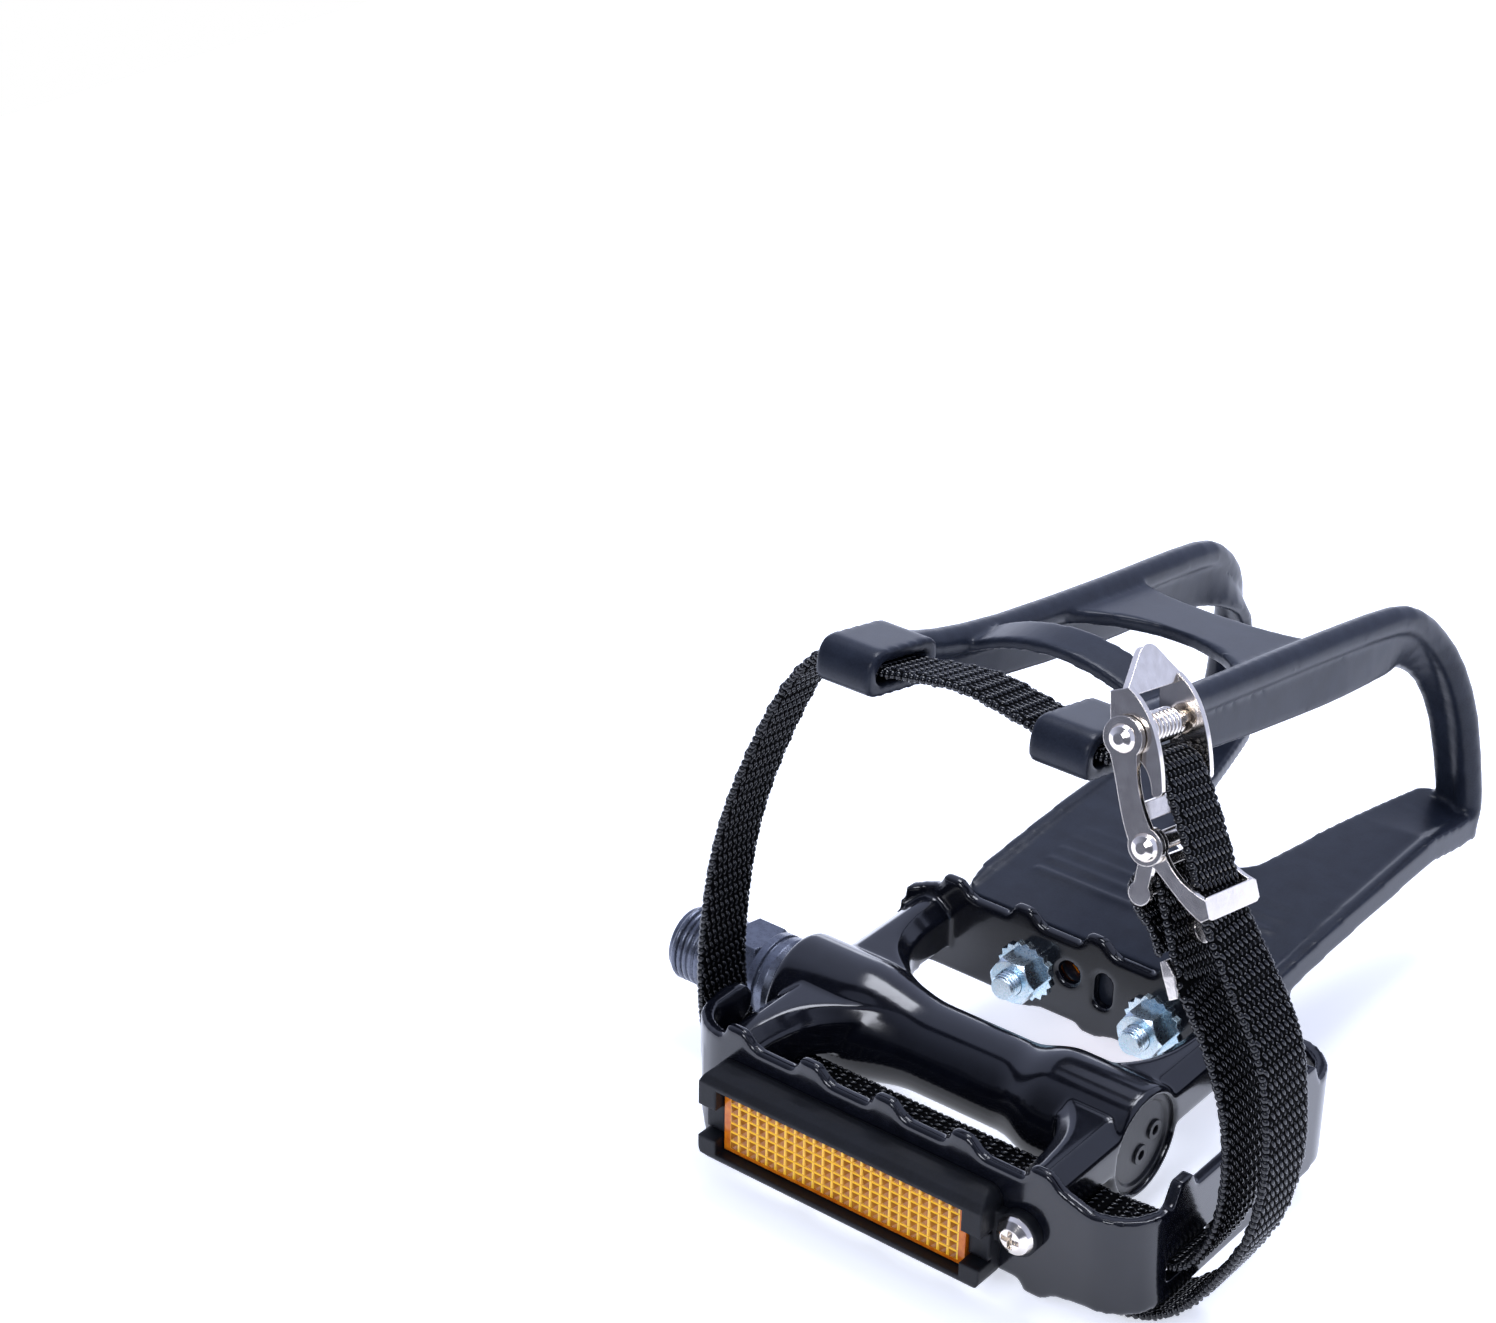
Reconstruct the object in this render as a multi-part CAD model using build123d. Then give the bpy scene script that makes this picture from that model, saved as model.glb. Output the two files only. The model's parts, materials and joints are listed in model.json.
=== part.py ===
import math
import os

from build123d import *

# Driving sizes in millimetres. X runs outward along the axle from the crank
# seat, Y runs forward to the toe, Z runs up.
THREAD_DIA = 14.29
THREAD_LEN = 12.0
HEX_FLATS = 15.0
CAGE_START = 12.0
CAGE_END = 105.0
CAGE_HALF = 32.4
PLATE = 2.3
TOOTH_PITCH = 15.4
BARREL_LEN = 73.2
BALL_DIA = 3.175
BOLT_DIA = 5.0
BOLT_SPAN = 26.9
SOLE_HALF = 31.0
CLIP_REACH = 116.0
CLIP_HEIGHT = 79.5
STRAP_WIDTH = 12.5
STRAP_THICK = 1.8
SHEET = 1.1

# Clearances and fits.
FREE = 0.35
RUN = 0.05
HOLE = 0.25

# Derived positions of the cage and the barrel.
CAGE_X = CAGE_START + (CAGE_END - CAGE_START) * 0.4613
CAGE_IN = CAGE_HALF - PLATE
HEX_LEN = 7.0
COLLAR_END = CAGE_START
BARREL_START = COLLAR_END + 1.0
BARREL_END = BARREL_START + BARREL_LEN
ARM_WIDTH = 8.0
ARM_INNER = BARREL_START + 7.5
BOLT_X = [CAGE_X - BOLT_SPAN / 2, CAGE_X + BOLT_SPAN / 2]
WASHER_R = BOLT_DIA * 1.16
NUT_GAP = 1.0
ARM_OUTER = max(BARREL_END, BOLT_X[1] + WASHER_R + NUT_GAP + ARM_WIDTH) - ARM_WIDTH / 2
ARM_LOW = -1.0
ARM_TOP = 7.8
STRAP_Y = -17.3
STRAP_Z = ARM_LOW - 0.5 - FREE - STRAP_THICK * 0.8

BALL_R = BALL_DIA / 2
RACE = BALL_R + 0.33
RACE_COS = 0.755
RACE_SIN = 0.656
IN_X = BARREL_START + 7.0
IN_R = BALL_R * 4.28
OUT_X = BARREL_END - 14.2
OUT_R = BALL_R * 3.97
NOSE_R = 4.0
SHAFT_R = IN_R - BALL_R - 0.32
JOURNAL_R = IN_R + 0.4
CUP_IN_R = IN_R + BALL_R + 0.36
CUP_IN_OUT = CUP_IN_R + 0.65
CUP_OUT_R = OUT_R + BALL_R + 0.33
CUP_OUT_OUT = CUP_OUT_R + 0.7
BORE_MID = max(SHAFT_R + 1.6, 6.2)


def turned(points):
    return revolve(make_face(Polyline(*points, close=True)), Axis.X, 360)


def across_x(sketch, start, length):
    return extrude(Plane.YZ.offset(start) * sketch, amount=length)


def rod_x(x, y, z, radius, length):
    return across_x(Pos(y, z) * Circle(radius), x, length)


def rod_y(x, y, z, radius, length):
    plane = Plane(origin=(x, y, z), x_dir=(1, 0, 0), z_dir=(0, 1, 0))
    return extrude(plane * Circle(radius), amount=length)


def block(x0, x1, y0, y1, z0, z1):
    middle = Pos((x0 + x1) / 2, (y0 + y1) / 2, (z0 + z1) / 2)
    return middle * Box(x1 - x0, y1 - y0, z1 - z0)


def outline_xz(points, y0, y1):
    plane = Plane(origin=(0, y0, 0), x_dir=(1, 0, 0), z_dir=(0, -1, 0))
    face = make_face(Polyline(*points, close=True))
    return extrude(plane * face, amount=y0 - y1)


def outline_yz(points, x0, x1):
    return across_x(make_face(Polyline(*points, close=True)), x0, x1 - x0)


def between(a, b, c, d, t):
    first = b * 2
    second = (c - a) * t
    third = (a * 2 - b * 5 + c * 4 - d) * (t * t)
    fourth = (b * 3 - a - c * 3 + d) * (t * t * t)
    return (first + second + third + fourth) * 0.5


def ball_ring(x, radius, count):
    rings = []
    for tip in (-60, -30, 0, 30, 60):
        up = math.radians(tip)
        rings.append(Pos(0, 0, BALL_R * math.sin(up)) * RegularPolygon(BALL_R * math.cos(up), 8))
    ball = loft(rings, ruled=True)
    balls = []
    for i in range(count):
        turn = math.tau * i / count
        balls.append(Pos(x, radius * math.cos(turn), radius * math.sin(turn)) * ball)
    return Compound(children=balls)


# Spindle: turned steel, thread to the crank, wrench hexagon, grooved collar,
# cone for the inner balls and a slim threaded nose for the outer cone.
def make_spindle():
    thread_r = THREAD_DIA / 2
    collar_r = HEX_FLATS / 2 + 0.8
    flare_x = IN_X - RACE / RACE_COS * 0.98 - (JOURNAL_R - IN_R) * RACE_SIN / RACE_COS * 0.5 - 0.45
    flare_end = flare_x + (JOURNAL_R - SHAFT_R) * RACE_SIN / RACE_COS
    points = [
        (-THREAD_LEN + 0.9, 0),
        (-THREAD_LEN, 1.2),
        (-THREAD_LEN, thread_r - 1.0),
        (-THREAD_LEN + 1.0, thread_r),
        (0, thread_r),
        (0, HEX_FLATS / 2 - 0.6),
        (HEX_LEN, HEX_FLATS / 2 - 0.6),
        (HEX_LEN, collar_r),
        (HEX_LEN + 1.5, collar_r),
        (HEX_LEN + 1.7, collar_r - 0.5),
        (HEX_LEN + 2.3, collar_r - 0.5),
        (HEX_LEN + 2.5, collar_r),
        (COLLAR_END - 1.2, collar_r),
        (COLLAR_END, collar_r - 0.7),
        (COLLAR_END, JOURNAL_R),
        (flare_x, JOURNAL_R),
        (flare_end, SHAFT_R),
        (OUT_X - 3.2, SHAFT_R),
        (OUT_X - 2.4, NOSE_R),
        (BARREL_END - 4.2, NOSE_R),
        (BARREL_END - 3.6, NOSE_R - 0.6),
        (BARREL_END - 3.6, 0),
    ]
    body = turned(points)
    corner = HEX_FLATS / math.sqrt(3)
    hexagon = across_x(RegularPolygon(HEX_FLATS / 2, 6, major_radius=False), 0, HEX_LEN)
    trim = turned([
        (0, 0),
        (0, HEX_FLATS / 2),
        (0.7, corner + 0.05),
        (HEX_LEN - 0.7, corner + 0.05),
        (HEX_LEN, HEX_FLATS / 2),
        (HEX_LEN, 0),
    ])
    return body + (hexagon & trim)


# Outer cone, washer and nut: turned steel rings screwed on the spindle nose.
CONE_X = OUT_X + RACE * RACE_COS
CONE_R = OUT_R - RACE * RACE_SIN
CONE_BACK = OUT_X + 5.6
WASHER_T = 1.0
NUT_T = 3.0


def make_outer_cone():
    bore = NOSE_R + RUN
    tip_r = bore + 0.5
    back_r = OUT_R + 0.3
    tip_x = CONE_X - (CONE_R - tip_r) * RACE_SIN / RACE_COS
    back_x = CONE_X + (back_r - CONE_R) * RACE_SIN / RACE_COS
    points = [(tip_x, bore), (tip_x, tip_r), (back_x, back_r), (CONE_BACK, back_r), (CONE_BACK, bore)]
    return turned(points)


def make_lock_washer():
    bore = NOSE_R + RUN
    end = CONE_BACK + WASHER_T
    return turned([(CONE_BACK, bore), (CONE_BACK, NOSE_R + 2.2), (end, NOSE_R + 2.2), (end, bore)])


def make_lock_nut():
    start = CONE_BACK + WASHER_T
    nut = across_x(RegularPolygon(NOSE_R + 1.8, 6, major_radius=False), start, NUT_T)
    return nut - rod_x(start - 1, 0, 0, NOSE_R + RUN, NUT_T + 2)


# Bearing cups: pressed steel rings with a cone race, pushed in the barrel.
CUP_IN_START = IN_X - BALL_R
CUP_IN_END = IN_X + BALL_R + 3.0
CUP_OUT_START = OUT_X - BALL_R - 2.8
CUP_OUT_END = OUT_X + BALL_R


def make_inner_cup():
    low_r = SHAFT_R + 1.1
    mid_x = IN_X + RACE * RACE_COS
    mid_r = IN_R + RACE * RACE_SIN
    top_x = mid_x - (CUP_IN_R - mid_r) * RACE_SIN / RACE_COS
    low_x = mid_x + (mid_r - low_r) * RACE_SIN / RACE_COS
    return turned([
        (CUP_IN_START, CUP_IN_R),
        (top_x, CUP_IN_R),
        (low_x, low_r),
        (CUP_IN_END, low_r),
        (CUP_IN_END, CUP_IN_OUT),
        (CUP_IN_START, CUP_IN_OUT),
    ])


def make_outer_cup():
    low_r = SHAFT_R + 0.9
    mid_x = OUT_X - RACE * RACE_COS
    mid_r = OUT_R + RACE * RACE_SIN
    top_x = mid_x + (CUP_OUT_R - mid_r) * RACE_SIN / RACE_COS
    low_x = mid_x - (mid_r - low_r) * RACE_SIN / RACE_COS
    return turned([
        (CUP_OUT_END, CUP_OUT_R),
        (top_x, CUP_OUT_R),
        (low_x, low_r),
        (CUP_OUT_START, low_r),
        (CUP_OUT_START, CUP_OUT_OUT),
        (CUP_OUT_END, CUP_OUT_OUT),
    ])


# Seal: rubber ring in the crank end of the barrel, clear of the spindle.
SEAL_START = BARREL_START + 0.4
SEAL_END = SEAL_START + 2.6


def make_inner_seal():
    low_r = JOURNAL_R + FREE
    return turned([(SEAL_START, low_r), (SEAL_START, CUP_IN_OUT), (SEAL_END, CUP_IN_OUT), (SEAL_END, low_r)])


# Dust cap: pressed disc in the outer end of the barrel with two raised dots.
CAP_START = BARREL_END - 2.6
CAP_END = BARREL_END - 0.9


def make_dust_cap():
    cap = turned([
        (CAP_START, 0),
        (CAP_START, CUP_OUT_OUT),
        (CAP_END, CUP_OUT_OUT),
        (CAP_END, CUP_OUT_OUT - 1.0),
        (CAP_END - 0.5, CUP_OUT_OUT - 1.5),
        (CAP_END - 0.5, 0),
    ])
    for y, z in ((4.2, 0.3), (0.2, -2.6)):
        cap += rod_x(CAP_END - 1.0, y, z, 1.8, 0.9)
        cap -= rod_x(CAP_END - 0.7, y, z, 0.9, 1.0)
    return cap


# Pedal body: one die casting. The cage plates carry a row of hooked teeth,
# each a steep rise, a short crest and an S-shaped slope.
TEETH = [CAGE_X + TOOTH_PITCH * k for k in range(-2, 3)]
EDGE_TOP = 10.4
CREST = 12.9
CORNER_R = 9.5
CORNER_Z = 9.0
TAB_X = CAGE_START + 3.0
BOLT_Z = 0.6
SCREW_X = CAGE_END - 21.5
SCREW_Z = 0.5
SCREW_R = 1.5
SLOT_Y = STRAP_Y + 1.7


def tooth_row(centres, low, crest):
    row = []
    for x in centres:
        row.append((x - 3.0, low))
        row.append((x - 2.3, low + (crest - low) * 0.35))
        row.append((x - 1.6, crest))
        row.append((x + 1.6, crest))
        row.append((x + 2.6, low + (crest - low) * 0.72))
        row.append((x + 3.9, low + (crest - low) * 0.2))
        row.append((x + 5.2, low))
    return row


def make_pedal_body():
    length = CAGE_END - CAGE_START
    middle = Pos((CAGE_START + CAGE_END) / 2, 0)
    ring = middle * RectangleRounded(length, 2 * CAGE_HALF, CORNER_R)
    ring -= middle * RectangleRounded(length - 2 * PLATE, 2 * CAGE_IN, CORNER_R - PLATE)
    loop = extrude(Plane.XY.offset(-15) * ring, amount=30)
    split = CAGE_HALF - CORNER_R
    end = CAGE_END + 1
    turn_x = CAGE_END - CORNER_R

    rear_line = [(TAB_X, 10.0)] + tooth_row(TEETH, EDGE_TOP, CREST)
    rear_line += [(turn_x, CORNER_Z), (end, CORNER_Z), (end, -CORNER_Z), (turn_x, -CORNER_Z)]
    rear_line += list(reversed(tooth_row(TEETH[1:], -9.8, -11.7)))
    rear_line += [(TEETH[0] + 5, -9.8), (TEETH[0] - 3, -10.2), (TAB_X + 2.4, -11.7), (TAB_X, -7.0)]
    rear = loop & outline_xz(rear_line, -CAGE_HALF - 1, -split)

    front_line = [(TAB_X + 1.6, -2.0), (TAB_X, 4.0), (TAB_X + 1.0, 9.0)] + tooth_row(TEETH, EDGE_TOP, CREST)
    front_line += [(turn_x, CORNER_Z), (end, CORNER_Z), (end, -CORNER_Z), (turn_x, -CORNER_Z)]
    front_line += list(reversed(tooth_row(TEETH[1:], -6.4, -7.5)))
    front_line += [(TEETH[0] + 5, -6.4), (TAB_X + 4, -6.4)]
    front = loop & outline_xz(front_line, split, CAGE_HALF + 1)

    wall_teeth = []
    for y in (-19.0, 19.0):
        wall_teeth += [(y - 3.4, 10.0), (y - 1.8, 13.0), (y + 1.8, 13.0), (y + 3.4, 10.0)]
    wall_line = [(-split, CORNER_Z)] + wall_teeth + [(split, CORNER_Z), (split, -CORNER_Z), (-split, -CORNER_Z)]
    wall = loop & outline_yz(wall_line, CAGE_X, end)

    tab_end = STRAP_Y - 1.4
    tab_shape = Pos((tab_end - CAGE_HALF) / 2 - 0.5, 6) * Rectangle(tab_end + CAGE_HALF + 1, 8)
    tab_shape += Pos(tab_end, 6) * Circle(4)
    tab = (loop & block(CAGE_START - 1, TAB_X, -CAGE_HALF - 1, 0, -15, 15)) & across_x(tab_shape, CAGE_START - 1, 5)

    arm_line = [
        (-ARM_WIDTH / 2, ARM_LOW),
        (ARM_WIDTH / 2, ARM_LOW),
        (ARM_WIDTH / 2, ARM_TOP - 2.4),
        (1.0, ARM_TOP),
        (-1.0, ARM_TOP),
        (-ARM_WIDTH / 2, ARM_TOP - 2.4),
    ]
    reach = CAGE_IN + PLATE / 2
    arms = [outline_xz([(x + a, z) for a, z in arm_line], -reach, reach) for x in (ARM_INNER, ARM_OUTER)]

    sweep = (BOLT_X[0] - WASHER_R - ARM_INNER) * 0.75
    for x, toward, grow in ((ARM_INNER, 1, 1.0), (ARM_OUTER, -1, 0.6)):
        for side in (-1, 1):
            faces = []
            for away, share in ((5.0, 1.3), (8.0, 0.8), (11.5, 0.4), (16.0, 0.14), (23.0, 0.0)):
                flare = sweep * share * grow
                plane = Plane(origin=(x, side * away, 0), x_dir=(1, 0, 0), z_dir=(0, -1, 0))
                line = [(a + (toward * flare if a * toward > 0 else 0), z) for a, z in arm_line]
                faces.append(plane * make_face(Polyline(*line, close=True)))
            arms.append(loft(faces))

    big_r = max(CUP_IN_OUT + 1.4, 10.8)
    rim_r = max(CUP_OUT_OUT + 1.4, 10.3)
    waist_r = BORE_MID + 1.7
    top = [
        Line((BARREL_START, 0), (BARREL_START, big_r - 0.8)),
        Line((BARREL_START, big_r - 0.8), (BARREL_START + 0.8, big_r)),
        Line((BARREL_START + 0.8, big_r), (CUP_IN_END + 1.5, big_r)),
        Spline(
            (CUP_IN_END + 1.5, big_r),
            (CAGE_X - 12, waist_r),
            tangents=((1, 0), (1, 0)),
        ),
        Line((CAGE_X - 12, waist_r), (CUP_OUT_START - 8, waist_r)),
        Spline(
            (CUP_OUT_START - 8, waist_r),
            (CUP_OUT_START + 2, rim_r),
            tangents=((1, 0), (1, 0)),
        ),
        Line((CUP_OUT_START + 2, rim_r), (BARREL_END - 0.8, rim_r)),
        Line((BARREL_END - 0.8, rim_r), (BARREL_END, rim_r - 0.8)),
        Line((BARREL_END, rim_r - 0.8), (BARREL_END, 0)),
        Line((BARREL_END, 0), (BARREL_START, 0)),
    ]
    barrel = revolve(make_face(top), Axis.X, 360)

    body = barrel + rear + front + wall + tab
    for arm in arms:
        body += arm
    body -= rod_x(BARREL_START - 1, 0, 0, CUP_IN_OUT, CUP_IN_END - BARREL_START + 1)
    body -= rod_x(CUP_IN_END - 1, 0, 0, BORE_MID, CUP_OUT_START - CUP_IN_END + 2)
    body -= rod_x(CUP_OUT_START, 0, 0, CUP_OUT_OUT, CAGE_END - CUP_OUT_START - 10)

    for x in BOLT_X:
        body -= rod_y(x, CAGE_IN - 1, BOLT_Z, BOLT_DIA / 2 + HOLE, PLATE + 2)
    body -= rod_y(CAGE_X - 4.8, CAGE_IN - 1, 3.5, 2.2, PLATE + 2)
    plane = Plane(origin=(0, CAGE_IN - 1, 0), x_dir=(-1, 0, 0), z_dir=(0, 1, 0))
    window = Pos(-(CAGE_X + 2.5), 2.6) * SlotOverall(7.0, 3.6, rotation=90)
    body -= extrude(plane * window, amount=PLATE + 2)
    body -= rod_y(SCREW_X, -CAGE_HALF - 1, SCREW_Z, SCREW_R + RUN, PLATE + 5)
    half = STRAP_WIDTH / 2 + 0.9
    low = STRAP_Z - STRAP_THICK / 2 - 1.2
    high = STRAP_Z + STRAP_THICK / 2 + 1.4
    body -= block(CAGE_END - PLATE - 1, CAGE_END + 1, SLOT_Y - half, SLOT_Y + half, low, high)
    return body


# Rear reflector: black housing with a sloping top on the rear plate and one
# ear for a pan-head screw, and an amber lens pressed in its pocket.
HOUSE_X = (CAGE_START + 9.5, SCREW_X - 4.0)
LENS_X = (HOUSE_X[0] + 4.0, HOUSE_X[1] - 4.2)
LENS_Z = (-8.7, 3.6)
LIP_Y = -CAGE_HALF - 6.0
LENS_FACE = -CAGE_HALF - 3.9
LENS_BACK = -CAGE_HALF - 2.0
EAR_T = 2.0


def make_rear_housing():
    back = -CAGE_HALF
    line = [
        (back, 6.8),
        (back - 1.4, 6.8),
        (back - 3.2, 6.5),
        (back - 5.0, 5.8),
        (LIP_Y, 4.7),
        (LIP_Y, -9.8),
        (back - 5.2, -10.8),
        (back, -11.0),
    ]
    shell = outline_yz(line, HOUSE_X[0], HOUSE_X[1])
    front = Plane(origin=((HOUSE_X[0] + HOUSE_X[1]) / 2, LIP_Y - 1, -2.1), x_dir=(1, 0, 0), z_dir=(0, 1, 0))
    shell = shell & extrude(front * RectangleRounded(HOUSE_X[1] - HOUSE_X[0], 17.8, 2.6), amount=9)
    for x0, x1 in ((HOUSE_X[0] - 1, LENS_X[0]), (LENS_X[1], HOUSE_X[1] + 1)):
        shell -= block(x0, x1, LIP_Y - 1, LENS_FACE + 0.5, -5.8, -0.6)
        shell -= block(x0, x1, LIP_Y - 1, LENS_BACK - 0.4, -6.4, -5.8)
        shell -= block(x0, x1, LIP_Y - 1, LENS_BACK - 0.4, -0.6, 0.0)
    shell -= block(
        LENS_X[0] - FREE, LENS_X[1] + FREE, LIP_Y - 1, LENS_BACK, LENS_Z[0] - FREE, LENS_Z[1] + FREE,
    )
    ear = block(HOUSE_X[1] - 0.5, SCREW_X, back - EAR_T, back, SCREW_Z - 2.8, SCREW_Z + 2.8)
    ear += rod_y(SCREW_X, back - EAR_T, SCREW_Z, 3.9, EAR_T)
    return shell + ear - rod_y(SCREW_X, back - 8, SCREW_Z, SCREW_R + HOLE, 9)


def make_rear_lens():
    return block(LENS_X[0], LENS_X[1], LENS_FACE, LENS_BACK, LENS_Z[0], LENS_Z[1])


def make_rear_screw():
    head_y = -CAGE_HALF - EAR_T
    shank = rod_y(SCREW_X, head_y - 1, SCREW_Z, SCREW_R, EAR_T + PLATE + 2.5)
    outline = Polyline((0, -1.9), (1.9, -1.7), (3.1, -0.9), (3.5, 0), (0, 0), close=True)
    head = revolve(make_face(outline), Axis.Y, 360)
    head = Pos(SCREW_X, head_y, SCREW_Z) * head
    recess = Pos(SCREW_X, head_y - 1.6, SCREW_Z) * (Box(0.9, 2.0, 3.4) + Box(3.4, 2.0, 0.9))
    return head + shank - recess


# Toe clip: one resin moulding. A flange bolts to the front plate, the sole
# reaches forward in two horns, two beaded sides rise and run back to the loops.
FLANGE_T = 2.8
FLANGE_Y = CAGE_HALF + FLANGE_T
SOLE_T = 3.2
RIM_WIDE = 2.2
RIM_UP = 0.6
RIM_DOWN = 1.4
LOOP_LEN = 19.0
LOOP_TALL = 8.0
LOOP_WIDE = 10.8
LOOP_H = 20.6
LOOP_TILT = -11.9
LOOP_Y = -9.6
LOOP_Z = CLIP_HEIGHT - 1.9
BEAD_R = 2.7
WEB_T = 2.9


def side_sections():
    reach = CLIP_REACH
    top = CLIP_HEIGHT
    wide = SOLE_HALF - 2.6
    mid = LOOP_H
    return [
        (wide, reach - 3.2, 7.4, -1.0, 0.0, 0.0, 5.6),
        (wide, reach - 1.7, 11.0, -1.0, 0.0, 0.0, 5.6),
        (wide * 0.98, reach - 0.8, 0.195 * top, -1.0, -0.05, 0.0, 5.6),
        (wide * 0.91, reach - 2.3, 0.385 * top, -0.96, -0.25, 0.0, 5.8),
        (wide * 0.84, reach - 6.0, 0.525 * top, -0.85, -0.4, -0.3, 6.2),
        (wide * 0.775, reach - 11.0, 0.62 * top, -0.55, -0.55, -0.6, 7.2),
        (wide * 0.74, reach - 18.0, 0.697 * top, -0.2, -0.4, -0.9, 8.6),
        (wide * 0.72, reach - 26.0, 0.738 * top, 0.0, -0.15, -1.0, 9.4),
        (wide * 0.7, reach * 0.63, 0.777 * top, 0.12, -0.1, -1.0, 9.8),
        (mid * 0.945, reach * 0.49, 0.81 * top, 0.12, -0.15, -1.0, 9.8),
        (mid * 0.935, reach * 0.21, 0.88 * top, 0.12, -0.16, -1.0, 8.6),
        (mid * 0.975, reach * 0.055, 0.93 * top, 0.06, -0.2, -1.0, 6.0),
        (mid, -2.5, 0.968 * top, 0.0, -0.2, -1.0, 3.6),
    ]


def make_clip_side():
    given = side_sections()
    last = len(given) - 1
    rows = []
    for i in range(last):
        four = [given[max(i - 1, 0)], given[i], given[i + 1], given[min(i + 2, last)]]
        for t in (0, 0.5):
            rows.append([between(*values, t) for values in zip(*four)])
    rows.append(given[last])
    path = [Vector(CAGE_X + r[0], r[1], r[2]) for r in rows]
    half = WEB_T / 2
    start = math.sqrt(BEAD_R**2 - half**2)
    faces = []
    for i, row in enumerate(rows):
        before = path[max(i - 1, 0)]
        after = path[min(i + 1, len(path) - 1)]
        along = (after - before).normalized()
        web = Vector(row[3], row[4], row[5])
        web = (web - along * web.dot(along)).normalized()
        plane = Plane(origin=path[i], x_dir=web, z_dir=along)
        wire = [
            Line((row[6], half), (start, half)),
            ThreePointArc((start, half), (-BEAD_R, 0), (start, -half)),
            Line((start, -half), (row[6], -half)),
            ThreePointArc((row[6], -half), (row[6] + half * 0.6, 0), (row[6], half)),
        ]
        faces.append(plane * make_face(wire))
    return loft(faces, ruled=True)


def make_clip_loop():
    shape = RectangleRounded(LOOP_LEN, LOOP_TALL, 3.2)
    shape -= SlotOverall(STRAP_WIDTH + 2.0, STRAP_THICK + 2.0)
    loop = across_x(shape, -LOOP_WIDE / 2, LOOP_WIDE)
    return Pos(CAGE_X + LOOP_H, LOOP_Y, LOOP_Z) * (Rot(LOOP_TILT, 0, 0) * loop)


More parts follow.
